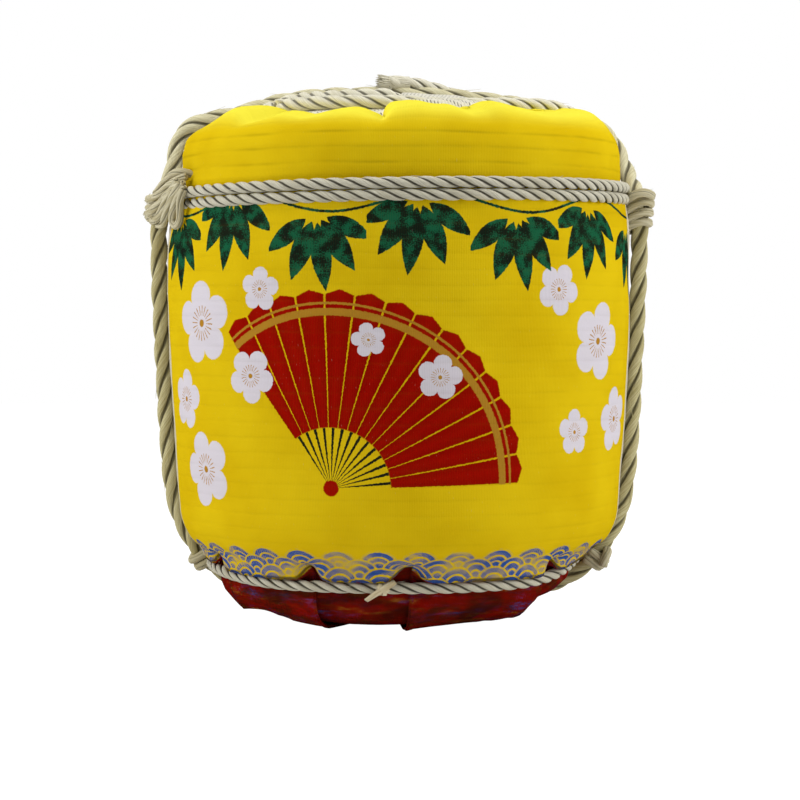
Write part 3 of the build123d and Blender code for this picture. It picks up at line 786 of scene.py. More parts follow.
@dataclass
class MeshData:
    """Points, faces and one UV pair for each face corner, in millimetres and UV metres."""

    points: list[Array] = field(default_factory=list)
    faces: list[Array] = field(default_factory=list)
    uvs: list[Array] = field(default_factory=list)
    count: int = 0

    def add(self, points: Array, faces: Array, uvs: Array) -> None:
        """Append one patch of quads.

        Args:
            points: N by 3.
            faces: M by 4, into points.
            uvs: M by 4 by 2.
        """
        self.points.append(points)
        self.faces.append(faces + self.count)
        self.uvs.append(uvs)
        self.count += len(points)

    def piece(self, name: str) -> Piece:
        """Make the mesh object in metres, smooth, at the origin.

        Args:
            name: Name of the object.

        Returns:
            The object.
        """
        points = np.concatenate(self.points) * MM
        faces = np.concatenate(self.faces)
        uvs = np.concatenate(self.uvs).reshape(-1, 2)
        loops = [list(dict.fromkeys(face)) for face in faces.tolist()]
        kept = np.array([index in face_first(face) for face in faces.tolist() for index in range(4)])
        mesh = bpy.data.meshes.new(name)
        mesh.from_pydata(points.tolist(), [], loops)
        layer = mesh.uv_layers.new(name="flat")
        layer.data.foreach_set("uv", uvs[kept].astype(np.float32).ravel())
        mesh.polygons.foreach_set("use_smooth", np.ones(len(mesh.polygons), dtype=bool))
        mesh.update()
        made = bpy.data.objects.new(name, mesh)
        bpy.context.scene.collection.objects.link(made)
        return made


def face_first(face: Sequence[int]) -> set[int]:
    """Corners of a face that show each point for the first time."""
    return {face.index(point) for point in face}


def ring_faces(rings: int, sides: int) -> Array:
    """Quads between closed rings of points.

    Args:
        rings: Number of rings.
        sides: Points in each ring.

    Returns:
        Faces by 4, wound outwards when the rings follow a right-handed turn about their path.
    """
    ring = np.repeat(np.arange(rings - 1), sides)
    side = np.tile(np.arange(sides), rings - 1)
    after = (side + 1) % sides
    low = ring * sides
    high = low + sides
    return np.stack([low + side, low + after, high + after, high + side], axis=1)


def ring_uvs(lengths: Array, sides: int, lane: float, width: float = 1.0) -> Array:
    """UV corners for ring_faces: turns across from lane to lane + width, metres along.

    Args:
        lengths: Length along the line at each ring.
        sides: Corners of a ring.
        lane: Where the strand starts across the map.
        width: How far it reaches across the map.

    Returns:
        The faces' UV corners.
    """
    rings = len(lengths)
    ring = np.repeat(np.arange(rings - 1), sides)
    side = np.tile(np.arange(sides), rings - 1)
    left = lane + width * side / sides
    right = lane + width * (side + 1) / sides
    low = lengths[ring] * MM
    high = lengths[ring + 1] * MM
    corners = [(left, low), (right, low), (right, high), (left, high)]
    return np.stack([np.stack(corner, axis=1) for corner in corners], axis=1)


def running_length(points: Sequence[Sequence[float]]) -> Array:
    """Length along a row of points up to each of them."""
    steps = np.linalg.norm(np.diff(np.array(points), axis=0), axis=1)
    return np.concatenate([[0.0], np.cumsum(steps)])


def unit(vectors: Array) -> Array:
    """Vectors of length 1 in the same directions, N by 3."""
    return vectors / np.linalg.norm(vectors, axis=1)[:, None]


def frames(points: Array) -> tuple[Array, Array, Array, Array]:
    """Carry a frame along a line without twist.

    Args:
        points: N by 3.

    Returns:
        Tangents, first and second cross directions, and the length up to each point.
    """
    lengths = running_length(points)
    tangents = unit(np.gradient(points, lengths, axis=0))
    here = np.array([0.0, 0.0, 1.0]) if abs(tangents[0][2]) < 0.9 else np.array([0.0, 1.0, 0.0])
    first = np.empty_like(points)
    for index, tangent in enumerate(tangents):
        here = here - tangent * np.dot(here, tangent)
        here = here / np.linalg.norm(here)
        first[index] = here
    return tangents, first, np.cross(tangents, first), lengths


def even_line(points: Array, step: float) -> Array:
    """Points along a line at an even step near the one asked for.

    Args:
        points: Points of the line.
        step: Length of a step.

    Returns:
        The evenly spaced points.
    """
    lengths = running_length(points)
    count = max(4, int(lengths[-1] / step) + 1)
    places = np.linspace(0.0, lengths[-1], count)
    return np.stack([np.interp(places, lengths, points[:, axis]) for axis in range(3)], axis=1)


def around(first: Array, second: Array, angles: Array, stretch: float = 1.0) -> Array:
    """Ring of directions at each point of a line, points by angles by 3.

    Args:
        first: Directions across the line.
        second: Directions square to those.
        angles: Turns about the line in radians.
        stretch: Length of the second directions.

    Returns:
        The directions.
    """
    cosine = np.cos(angles)[None, :, None]
    sine = (stretch * np.sin(angles))[None, :, None]
    return first[:, None, :] * cosine + second[:, None, :] * sine


def arc_points(center: Pair, radius: float, turns: Iterable[float]) -> list[Pair]:
    """Points of a section's arc at these degrees from outwards."""
    turned = [math.radians(turn) for turn in turns]
    return [(center[0] + radius * math.cos(a), center[1] + radius * math.sin(a)) for a in turned]


def route_line(controls: Sequence[Point], fineness: int = 24) -> Array:
    """Read points along a NURBS route.

    Args:
        controls: Control points in millimetres.
        fineness: Points for each control.

    Returns:
        N by 3 points on the smooth line.
    """
    curve = bpy.data.curves.new("route", "CURVE")
    curve.dimensions = "3D"
    spline = curve.splines.new("NURBS")
    spline.points.add(len(controls) - 1)
    for point, control in zip(spline.points, controls):
        point.co = (*control, 1.0)
    spline.order_u = 3
    spline.use_endpoint_u = True
    spline.resolution_u = fineness
    carrier = bpy.data.objects.new("route", curve)
    bpy.context.scene.collection.objects.link(carrier)
    bpy.context.view_layer.update()
    mesh = bpy.data.meshes.new_from_object(carrier)
    points = np.array([vertex.co for vertex in mesh.vertices], dtype=float)
    bpy.data.objects.remove(carrier)
    bpy.data.curves.remove(curve)
    bpy.data.meshes.remove(mesh)
    return points


@dataclass
class Rope:
    """Right-laid three-strand rope of one diameter; a long lay makes a flat straw band."""

    diameter: float
    lay: float
    sides: int = 12
    step: float = 2.4
    stretch: float = 1.18
    strand: float = 0.5
    fibres: float = 0.03
    mesh: MeshData = field(default_factory=MeshData)
    seed: int = 3
    outline: float = 1.03
    unevenness: float = 0.05

    def lay_along(
        self, controls: Sequence[Point], start_flare: float = 0.0, end_flare: float = 0.0
    ) -> Array:
        """Lay the strands along a route.

        Args:
            controls: Control points of the route.
            start_flare: How far the strands open at the first end, as a share.
            end_flare: The same at the last end.

        Returns:
            The centre line.
        """
        line = even_line(route_line(controls), self.step)
        _, first, second, lengths = frames(line)
        radius = self.diameter / 2
        opening = 1 + start_flare * np.exp(-lengths / radius)
        opening = opening + end_flare * np.exp((lengths - lengths[-1]) / radius)
        sides = np.arange(self.sides) * TAU / self.sides + math.pi
        for strand in range(3):
            turn = lengths * (TAU / self.lay) + strand * TAU / 3 + self.seed
            out = np.cos(turn)[:, None] * first + np.sin(turn)[:, None] * second
            aside = np.cos(turn)[:, None] * second - np.sin(turn)[:, None] * first
            center = line + out * (radius * (self.outline - self.strand) * opening)[:, None]
            uneven = 1 + self.unevenness * np.sin(lengths * 0.21 + strand * 2.1 + self.seed)
            ring = around(out, aside, sides, self.stretch)
            points = center[:, None, :] + ring * (radius * self.strand * uneven)[:, None, None]
            self._closed_tube(points, lengths, strand + 3.0 * self.seed)
        self._loose_fibres(line, first, second)
        self.seed += 1
        return line

    def _closed_tube(self, points: Array, lengths: Array, lane: float) -> None:
        """Add one strand with its cut ends closed.

        Args:
            points: Rings by sides by 3.
            lengths: Length up to each ring.
            lane: Strand number for the UV map.
        """
        rings, sides = points.shape[:2]
        middle = points.mean(axis=1)
        tip = lengths[1] - lengths[0]
        caps = [points[end] * 0.3 + middle[end] * 0.7 for end in (0, -1)]
        stack = np.concatenate([caps[0][None], points, caps[1][None]])
        along = np.concatenate([[lengths[0] - tip], lengths, [lengths[-1] + tip]])
        start = self.mesh.count
        self.mesh.add(stack.reshape(-1, 3), ring_faces(rings + 2, sides), ring_uvs(along, sides, lane))
        low = np.arange(sides // 2 - 1)
        fan = np.stack([low, low + 1, sides - 2 - low, sides - 1 - low], axis=1)
        flat = np.zeros((len(fan), 4, 2))
        flat[..., 0] = lane + 0.3
        flat[..., 1] = (0.0, MM, MM, 0.0)
        for quads in (fan[:, ::-1], fan + (rings + 1) * sides):
            self.mesh.faces.append(quads + start)
            self.mesh.uvs.append(flat)

    def _loose_fibres(self, line: Array, first: Array, second: Array) -> None:
        """Let a few straws stand off the rope.

        Args:
            line: Middle of the rope.
            first: Directions across the line.
            second: Directions square to those.
        """
        rng = np.random.default_rng(self.seed * 17 + len(line))
        length = self.step * len(line)
        for _ in range(int(length * self.fibres)):
            index = int(rng.integers(2, len(line) - 3))
            turn = rng.uniform(0, TAU)
            out = math.cos(turn) * first[index] + math.sin(turn) * second[index]
            along = line[index + 1] - line[index]
            along = along / np.linalg.norm(along) * rng.choice((-1.0, 1.0))
            side = np.cross(out, along)
            reach = rng.uniform(0.4, 1.0) * self.diameter
            bend = rng.uniform(-0.3, 0.3)
            path = []
            for run, rise in ((-0.3, -0.04), (0.3, 0.03), (0.75, 0.08), (1.2, rng.uniform(0.1, 0.24))):
                foot = line[index] + out * (self.diameter * 0.46 + reach * rise)
                path.append(foot + (along + side * bend) * reach * run)
            stalk(self.mesh, np.array(path), 0.3, 3, float(self.seed))

    def piece(self, name: str) -> Piece:
        """Make the rope's object."""
        return self.mesh.piece(name)


def stalk(mesh: MeshData, path: Array, radius: float, sides: int, lane: float) -> None:
    """Add one tapering stalk along a short path.

    Args:
        mesh: Mesh to add to.
        path: Points of the stalk.
        radius: Thickest radius.
        sides: Sides of the stalk.
        lane: UV lane, which gives the stalk its own colour.
    """
    _, first, second, lengths = frames(path)
    ring = around(first, second, np.arange(sides) * TAU / sides)
    share = np.linspace(0, 1, len(path))
    taper = radius * (1 - 0.75 * share**2)
    points = path[:, None, :] + ring * taper[:, None, None]
    uvs = ring_uvs(lengths, sides, lane + 0.35, 0.3)
    mesh.add(points.reshape(-1, 3), ring_faces(len(path), sides), uvs)


def helix(
    center: Pair, start: Point, pitch: float, turns: float, count: int = 14
) -> list[Point]:
    """Control points of a winding whose smooth line keeps its radius.

    Args:
        center: Axis of the winding.
        start: Radius, first angle in degrees from +X, and first height.
        pitch: Rise in each turn; turns below zero wind clockwise.
        turns: Number of turns, with sign.
        count: Control points for each turn.

    Returns:
        The points.
    """
    radius, angle, height = start
    grown = radius / math.cos(math.pi / count)
    total = max(3, int(round(abs(turns) * count)))
    points = []
    for index in range(total + 1):
        share = index / total
        turn = math.radians(angle + 360 * turns * share)
        reach = radius if index in (0, total) else grown
        x = center[0] + reach * math.cos(turn)
        y = center[1] + reach * math.sin(turn)
        points.append((x, y, height + pitch * abs(turns) * share))
    return points


def select_only(*pieces: Piece) -> None:
    """Select these pieces alone, the last of them active.

    Args:
        pieces: Pieces to select.
    """
    bpy.ops.object.select_all(action="DESELECT")
    for piece in pieces:
        piece.select_set(True)
        bpy.context.view_layer.objects.active = piece


def grid_piece(
    name: str,
    columns: int,
    rows: int,
    place: Callable[[Array, Array], tuple[Array, Array]],
) -> Piece:
    """Add a grid and shape it into a sheet.

    Args:
        name: Piece name.
        columns: Points across.
        rows: Points along.
        place: Gives the points in millimetres and flat UVs in metres for column and row numbers.

    Returns:
        The shaped sheet, one layer, at the origin.
    """
    select_only()
    bpy.ops.mesh.primitive_grid_add(x_subdivisions=columns - 1, y_subdivisions=rows - 1, size=2.0)
    made = bpy.context.object
    made.name = name
    made.data.name = name
    mesh = made.data
    flat = np.empty(len(mesh.vertices) * 3, dtype=np.float32)
    mesh.vertices.foreach_get("co", flat)
    flat = flat.reshape(-1, 3)
    column = np.rint((flat[:, 0] + 1) / 2 * (columns - 1)).astype(int)
    row = np.rint((flat[:, 1] + 1) / 2 * (rows - 1)).astype(int)
    points, uvs = place(column, row)
    mesh.vertices.foreach_set("co", (points * MM).astype(np.float32).ravel())
    corners = np.empty(len(mesh.loops), dtype=np.int32)
    mesh.loops.foreach_get("vertex_index", corners)
    mesh.uv_layers[0].data.foreach_set("uv", uvs[corners].astype(np.float32).ravel())
    mesh.polygons.foreach_set("use_smooth", np.ones(len(mesh.polygons), dtype=bool))
    mesh.update()
    return made


def thicken(piece: Piece, thickness: float, offset: float) -> None:
    """Give a sheet its thickness.

    Args:
        piece: The sheet.
        thickness: Thickness of the wall.
        offset: -1 for inwards.
    """
    select_only(piece)
    bpy.ops.object.modifier_add(type="SOLIDIFY")
    solid = piece.modifiers[-1]
    solid.thickness = thickness * MM
    solid.offset = offset
    bpy.ops.object.modifier_apply(modifier=solid.name)


def close_seams(piece: Piece) -> None:
    """Merge a turned shell's seam and poles and point its faces out.

    Args:
        piece: The shell.
    """
    select_only(piece)
    bpy.ops.object.mode_set(mode="EDIT")
    bpy.ops.mesh.select_all(action="SELECT")
    bpy.ops.mesh.remove_doubles(threshold=0.00002)
    bpy.ops.mesh.normals_make_consistent(inside=False)
    bpy.ops.object.mode_set(mode="OBJECT")


def dress(piece: Piece, body: Body, slot: Slot, material: Material, *nodes: str) -> Piece:
    """Give a piece its material and body, and hide the nodes that it stands for.

    Args:
        piece: The piece.
        body: Body that it rides on.
        slot: Slot of its finish; not used.
        material: Its material.
        nodes: Nodes that it stands for.

    Returns:
        The piece.
    """
    piece.data.materials.clear()
    piece.data.materials.append(material)
    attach(piece, body.value)
    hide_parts(*nodes)
    log.info("%s: %d faces", piece.name, len(piece.data.polygons))
    return piece


def ripple(u: Array, v: Array, seed: int, across: float, along: float) -> Array:
    """Seeded soft unevenness from -1 to 1.

    Args:
        u: Place across, in millimetres.
        v: Place along, in millimetres.
        seed: Seed.
        across: Typical wave length across.
        along: Typical wave length along.

    Returns:
        Unevenness at each place.
    """
    rng = np.random.default_rng(seed)
    total = np.zeros(np.broadcast(u, v).shape)
    for _ in range(7):
        a = TAU / across * rng.uniform(0.5, 1.6) * rng.choice((-1.0, 1.0))
        b = TAU / along * rng.uniform(0.5, 1.6)
        total = total + np.sin(a * u + b * v + rng.uniform(0, TAU))
    return total / 4.0


def smooth(value: Array, low: float, high: float) -> Array:
    """Smooth step from 0 at low to 1 at high."""
    share = np.clip((value - low) / (high - low), 0.0, 1.0)
    return share * share * (3 - 2 * share)


def window(value: Array, low: float, full: float, waning: float, high: float) -> Array:
    """Smooth rise from low to full and fall from waning to high."""
    return smooth(value, low, full) * (1 - smooth(value, waning, high))


def bell(value: Array, width: float, power: int = 2) -> Array:
    """Bell of height 1 about 0; a higher power gives a flatter top."""
    return np.exp(-(np.abs(value / width) ** power))


def bend(value: Array) -> Array:
    """Soft clamp to -1 and 1."""
    return value / (1 + np.abs(value) ** 3) ** (1 / 3)


@dataclass(frozen=True)
class Pleat:
    """A pressed pleat: its place in degrees from the front and the side on top."""

    angle: float
    lap: Lap


def alternate(*angles: float) -> tuple[Pleat, ...]:
    """Pleats at these degrees, lapped left and right in turn."""
    return tuple(Pleat(angle, Lap.RIGHT if index % 2 else Lap.LEFT) for index, angle in enumerate(angles))


@dataclass
class WrappedSheet:
    """A woven sheet wrapped round the cask and pleated where the cask narrows."""

    reference: float = 182.0
    lap_over: float = 42.0
    thickness: float = 1.8
    fold_lift: float = 2.5
    widest_fold: float = 15.0
    fold_start: float = 166.0
    split_height: float = 342.0
    closest_columns: float = 1.1
    widest_columns: float = 4.2
    outer_clear: float = 0.3
    floor_clear: float = 0.2
    pleats: tuple[Pleat, ...] = ()

    def columns(self) -> Array:
        """Places of the sheet's columns across it, close together near the pleats.

        Returns:
            The places in order.
        """
        half = math.pi * self.reference
        centers = np.array([math.radians(pleat.angle) * self.reference for pleat in self.pleats])
        place = -half
        places = [place]
        while place < half + self.lap_over:
            near = np.abs(place - centers).min()
            place += min(self.closest_columns + 0.1 * float(near), self.widest_columns)
            places.append(place)
        places[-1] = half + self.lap_over
        return np.array(places)

    def fold(self, u: Array, radius: Array) -> tuple[Array, Array]:
        """Wrap places across the sheet round a circle, with the spare width in pleats.

        Args:
            u: Columns, 1 by C.
            radius: Row radii, R by 1.

        Returns:
            Angle in radians from the front and lift off the circle, R by C.
        """
        turns = np.array([math.radians(pleat.angle) for pleat in self.pleats])
        ring = np.concatenate([[turns[-1] - TAU], turns, [turns[0] + TAU]])
        laps = [self.pleats[-1].lap, *(pleat.lap for pleat in self.pleats), self.pleats[0].lap]
        spare = np.maximum(self.fold_start - radius, 0.05)
        stretch = np.maximum(radius, self.fold_start) / self.reference
        angle = np.zeros(np.broadcast(u, radius).shape)
        lift = np.zeros_like(angle)
        panel = np.clip(np.searchsorted(ring * self.reference, u[0]) - 1, 0, len(ring) - 2)
        for index in range(len(ring) - 1):
            picked = panel == index
            if not picked.any():
                continue
            part = u[:, picked]
            sides = []
            for edge in (index, index + 1):
                before = ring[max(edge - 1, 0)]
                after = ring[min(edge + 1, len(ring) - 1)]
                width = np.minimum(spare * (after - before) / 4, self.widest_fold)
                away = (part - ring[edge] * self.reference) * stretch
                turn = bend(2.4 * away / width)
                sides.append(radius * ring[edge] + away - width * turn)
                height = self.fold_lift * smooth(width, 1.0, 6.0)
                lift[:, picked] += -int(laps[edge]) * height * turn * bell(away, 24.0)
            share = (part / self.reference - ring[index]) / (ring[index + 1] - ring[index])
            blend = smooth(share, 0.15, 0.85)
            angle[:, picked] = ((1 - blend) * sides[0] + blend * sides[1]) / radius
        return angle, lift

    def shape(
        self,
        name: str,
        rows: Array,
        radius: Array,
        height: Array,
        press: Array,
        lift: Array,
        rising: bool,
    ) -> Piece:
        """Build the sheet from its section.

        Args:
            name: Piece name.
            rows: Place of each row along the flat sheet.
            radius: Outer radius, rows by columns.
            height: Height, rows by columns.
            press: How far pleats may stand off at each row, as a share.
            lift: Further lift off the section, rows by columns.
            rising: True where rows go up from the split.

        Returns:
            The thick sheet.
        """
        u = self.columns()[None, :]
        nominal = np.median(radius, axis=1)[:, None]
        angle, fold_lift = self.fold(u, nominal)
        seam = math.pi * self.reference
        lap = smooth(u, seam - 8, seam + 6) * (self.thickness + 0.5)
        stand = fold_lift * press[:, None] + lift + lap
        d_radius = np.gradient(radius, axis=0)
        d_height = np.gradient(height, axis=0)
        size = np.hypot(d_radius, d_height) + 1e-9
        turn = 1.0 if rising else -1.0
        radius = radius + turn * stand * d_height / size
        height = np.maximum(height - turn * stand * d_radius / size, self.outer_clear)
        x = radius * np.sin(angle)
        y = -radius * np.cos(angle)

        def place(column: Array, row: Array) -> tuple[Array, Array]:
            """Point and flat place of each grid point."""
            points = np.stack([x[row, column], y[row, column], height[row, column]], axis=1)
            return points, np.stack([u[0, column], rows[row]], axis=1) * MM

        made = grid_piece(name, u.shape[1], len(rows), place)
        thicken(made, self.thickness, 1.0 if not rising else -1.0)
        for vertex in made.data.vertices:
            vertex.co.z = max(vertex.co.z, self.floor_clear * MM)
        return made


def drawn_up(degrees: Array) -> Array:
    """How far the lower rope and the lip over it rise towards the hitches, left and right."""
    return np.where(degrees < 0, 6.5, 16.0) * window(np.abs(degrees), 42.0, 84.0, 92.0, 124.0)


def drawn_in_right(degrees: Array) -> Array:
    """How far the lower rope pulls the mat in at the right side."""
    return 5.0 * window(degrees, 48.0, 72.0, 104.0, 130.0)


def off_sides(degrees: Array, radius: float) -> Array:
    """Distance round a circle from the sling rope's two sides."""
    return np.radians(np.abs(degrees) - 90.0) * radius


@dataclass
class WrapMat(WrappedSheet):
    """The mat round the side, its lip over the lower rope and its skirt under the foot."""

    pleats: tuple[Pleat, ...] = alternate(-150, -120, -90, -64, -26, 4, 48, 90, 118, 152)
    arches: Pairs = (
        (-150, 4.0), (-120, 3.5), (-90, 5.5), (-64, 3.6), (-25.5, 3.4), (2.6, 4.6), (48.5, 3.4),
        (90, 5.5), (118, 3.5), (152, 4.0),
    )
    waist: float = 188.6
    waist_height: float = 250.0
    taper: Pair = (8.67, 159.0)
    pinch: Pair = (8.2, 92.0)
    corner_center: Pair = (131.93, 91.0)
    corner_radius: float = 48.0
    hanging: Pairs = (
        (162.2, 51.0), (161.0, 46.8), (160.3, 42.8), (159.2, 39.8), (157.0, 39.6), (154.0, 41.4),
        (151.2, 42.6), (148.9, 42.2), (147.8, 39.6),
    )
    tucked: Pairs = (
        (159.8, 54.6), (157.8, 53.4), (156.6, 52.4), (155.4, 51.4), (153.0, 50.4), (150.9, 49.2),
        (149.3, 47.4), (148.3, 44.6), (147.8, 40.8),
    )
    skirt: Pairs = (
        (147.5, 35.4), (147.4, 30.5), (147.3, 25.5), (146.8, 20.5), (145.3, 15.5), (142.8, 10.8),
        (139.2, 7.0), (134.6, 4.4), (129.0, 3.1), (122.0, 2.6), (113.0, 2.4), (102.0, 2.4),
        (90.0, 2.4), (78.0, 2.4), (68.0, 2.4),
    )
    under_rope: Pairs = (
        (140.0, 37.5), (136.5, 35.2), (133.0, 33.0), (129.0, 30.6), (125.0, 29.8), (120.5, 30.0),
        (116.0, 30.2), (111.0, 29.9), (106.0, 29.2), (101.0, 27.9), (96.0, 26.4), (91.0, 24.2),
        (84.0, 21.2), (76.0, 18.4), (68.0, 17.0),
    )
    foot_reach: Pairs = (
        (-180, -8), (-150, -2), (-122, -10), (-93, -8), (-78, -7), (-62, -7), (-45, -5), (-31, 1),
        (-26, 1), (-21, -4), (-8, -2), (1, -4), (4, 3), (9, 3), (22, -6), (40, -12), (52, -18),
        (64, -30), (74, -32), (90, -24), (112, -4), (120, -9), (152, -2), (168, -9), (194, -8),
    )
    foot_radius: float = 147.0
    hem_height: float = 18.0
    rope_room: float = 16.4
    slack_left: float = 11.0
    slack_right: float = 9.5
    slack_side: float = 5.0
    rope_height: float = 333.0
    rope_pitch: float = 9.2
    lip_row: int = 0

    def side_radius(self, height: float) -> float:
        """Radius of the side wall, pinched under the upper ropes and rounded at the foot.

        Args:
            height: Height on the mat.

        Returns:
            The radius.
        """
        away = height - self.waist_height
        if away > 0:
            return self.waist - self.pinch[0] * (away / self.pinch[1]) ** 4
        return self.waist - self.taper[0] * (-away / self.taper[1]) ** 1.35

    def section(self) -> tuple[list[Pair], list[Pair]]:
        """Section from the split down: the hanging form and the form at the arches.

        Returns:
            The two forms, point by point.
        """
        heights = [342, 338, 334, 330, 325, 319, 312, 304, *range(296, 91, -8), 91]
        wall = [(self.side_radius(height), float(height)) for height in heights]
        corner = (-7, -14, -21, -28, -34, -40, -45, -49)
        wall += arc_points(self.corner_center, self.corner_radius, corner)
        self.lip_row = len(wall) + 3
        return [*wall, *self.hanging, *self.skirt], [*wall, *self.tucked, *self.skirt]

    def build(self) -> tuple[Piece, float, float]:
        """Shape the mat.

        Returns:
            The piece, the flat height of its lip and its flat length.
        """
        hanging, tucked = self.section()
        length = running_length(hanging)
        rows = self.split_height - length
        u = self.columns()
        degrees = np.degrees(u / self.reference)
        arch = np.max([bell(degrees - angle, half, 3) for angle, half in self.arches], axis=0)
        outline = np.array(hanging)
        inner = np.array(tucked)
        z = outline[:, 1]
        radius = outline[:, :1] + (inner[:, :1] - outline[:, :1]) * arch
        height = outline[:, 1:] + (inner[:, 1:] - outline[:, 1:]) * arch
        foot = np.interp(degrees, *zip(*self.foot_reach)) / self.foot_radius
        radius = radius * (1 + smooth(-z, -30.0, -9.0)[:, None] * foot)
        below_lip = np.clip((np.arange(len(z)) - self.lip_row) / 5, 0, 1)
        radius = radius - below_lip[:, None] * drawn_in_right(degrees)
        drawn_in = np.array(self.under_rope)
        beside = bell(off_sides(degrees, 140.0), 13.0, 4)
        below = slice(len(outline) - len(drawn_in), None)
        radius[below] += (drawn_in[:, :1] - radius[below]) * beside
        height[below] += (drawn_in[:, 1:] - height[below]) * beside
        over_rope = self.rope_room * bell(radius * np.cos(u / self.reference), 11.0, 4)
        hem = (z < self.hem_height)[:, None] * np.maximum(over_rope, self._slack(degrees))
        lip = window(z, 22.0, 32.0, 44.0, 62.0)[:, None]
        height = np.maximum(height, hem) + lip * drawn_up(degrees)
        press = np.where((z > 29) & (z < 44.5) & (outline[:, 0] < 154), 0.35, 1.0)
        press = np.convolve(np.pad(press, 2, mode="edge"), np.ones(5) / 5, mode="valid")
        lift = self._unevenness(u, z, outline[:, 0], degrees)
        made = self.shape("printed_mat_wrap", rows, radius, height, press, lift, rising=False)
        return made, float(rows[self.lip_row]), float(length[-1])

    def _slack(self, degrees: Array) -> Array:
        """How far the hem hangs clear of the ground at each side.

        Args:
            degrees: Turns about the axis from the front.

        Returns:
            The slack.
        """
        left = self.slack_left * window(degrees, -86.0, -68.0, -57.0, -27.0)
        right = self.slack_right * smooth(degrees, 14.0, 54.0)
        right += self.slack_side * smooth(degrees, 82.0, 92.0)
        return left + right * (1 - smooth(degrees, 112.0, 136.0))

    def _unevenness(self, u: Array, z: Array, radius: Array, degrees: Array) -> Array:
        """Hand-wrapped waviness, rope dents and slack near the foot, rows by columns.

        Args:
            u: Place of each column across the sheet.
            z: Height of each row.
            radius: Radius of each row.
            degrees: Turn of each column from the front.

        Returns:
            How far each point stands out.
        """
        across, along = np.meshgrid(u, z)
        side = smooth(z, 88.0, 130.0)[:, None]
        off_rope = along - self.rope_height - degrees / 360 * self.rope_pitch
        lift = ripple(across, along, 4, 230.0, 150.0) * 0.9 * side
        lift += ripple(across, along, 9, 60.0, 40.0) * 0.25 * side
        lift += 1.1 * bell(off_rope, 9.0)
        lift += bell(off_rope + 15.0, 8.0) * ripple(across, along, 12, 34.0, 90.0) * 0.5
        groove = 4.5 * smooth(-z, -112.0, -72.0) * smooth(z, 46.0, 56.0)
        lift -= groove[:, None] * bell(off_sides(degrees, 170.0), 12.0)
        lip = bell(z - 50.0, 9.0) * (radius > 150.0)
        lift += lip[:, None] * (0.4 + ripple(across, along, 21, 70.0, 60.0))
        skirt = smooth(-z, -34.0, -14.0) * smooth(radius, 118.0, 134.0)
        return lift + skirt[:, None] * ripple(across, along, 33, 60.0, 60.0) * 0.9


@dataclass
class ShoulderMat(WrappedSheet):
    """The mat above the upper ropes, pleated over the rim."""

    fold_start: float = 151.0
    pleats: tuple[Pleat, ...] = alternate(-164, -137, -108, -79, -46, -4.2, 21.6, 52, 84, 112, 140, 166)
    crest: Pairs = (
        (-180, 1.0), (-172, 2.5), (-164, -5.0), (-156, 0.5), (-146, 2.5), (-137, -6.5),
        (-128, 1.5), (-118, 2.0), (-108, -6.5), (-98, -7.5), (-88, -7.5), (-79, -8.5), (-70, -6.0),
        (-58, 3.0), (-52, 0.6), (-47.5, -11.6), (-43, -9.6), (-34, -3.6), (-26.7, -8.6),
        (-19, -5.0), (-12.3, -3.4), (-7, -9.0), (-4.2, -13.0), (-1.4, -1.6), (5, 2.0), (10, -1.2),
        (14.5, -0.4), (19.5, -5.2), (24, -2.6), (27, 2.4), (30, 1.8), (36, -1.6), (45, -4.4),
        (52, -3.0), (60, -0.6), (67, 0.6), (75, 4.0), (82, -1.5), (93, -4.5), (103, -4.0),
        (112, -5.5), (121, 1.0), (131, 2.6), (140, -5.0), (149, 1.5), (158, 2.0), (166, -4.8),
        (174, 1.2), (180, 1.0), (194, 2.5),
    )
    arc_center: Pair = (142.93, 368.0)
    arc_radius: float = 37.4
    foot: Pairs = (
        (179.6, 342.3), (180.0, 346.0), (180.3, 350.0), (180.6, 355.0), (180.6, 360.0),
        (180.5, 364.5),
    )
    flap: Pairs = (
        (138.5, 405.6), (134.0, 405.5), (129.5, 405.0), (125.5, 404.2), (121.8, 403.2),
        (118.6, 402.0), (116.0, 400.8),
    )

    def build(self) -> tuple[Piece, float]:
        """Shape the mat.

        Returns:
            The piece and its flat length.
        """
        arc = arc_points(self.arc_center, self.arc_radius, range(0, 91, 6))
        outline = np.array([*self.foot, *arc, *self.flap])
        length = running_length(outline)
        arc_start = length[len(self.foot) - 1]
        edge = length[-1]
        u = self.columns()
        degrees = np.degrees(u / self.reference)
        kernel = np.hanning(7)
        crest = np.pad(np.interp(degrees, *zip(*self.crest)), 3, mode="edge")
        crest = np.convolve(crest, kernel / kernel.sum(), mode="valid")
        share = smooth(length, arc_start + 18.0, arc_start + 50.0)[:, None]
        laid = smooth(length, edge - 22.0, edge - 5.0)[:, None]
        height = outline[:, 1:] + share * (np.minimum(crest, 0.0) + (1 - laid) * np.maximum(crest, 0.0))
        across, along = np.meshgrid(u, length)
        frayed = smooth(length, edge - 16.0, edge)[:, None] * ripple(across, along, 51, 70.0, 400.0)
        drawn_in = window(degrees, -118.0, -90.0, -52.0, -16.0) * smooth(length, 4.0, 14.0)[:, None]
        radius = outline[:, :1] + 3.0 * frayed - 3.6 * drawn_in
        press = smooth(length, 24.0, 60.0)
        wrinkle = np.sin(along * TAU / 13.0 + ripple(across, along * 0, 44, 180.0, 60.0) * 2.2)
        strength = np.clip(0.5 + 0.5 * ripple(across, along, 47, 120.0, 60.0), 0, 1)
        lift = ripple(across, along, 41, 210.0, 90.0) * 0.7
        lift += window(length, 8.0, 22.0, 48.0, 74.0)[:, None] * wrinkle * 0.35 * strength
        rows = self.split_height + length
        made = self.shape("printed_mat_shoulder", rows, radius, height, press, lift, rising=True)
        return made, float(edge)


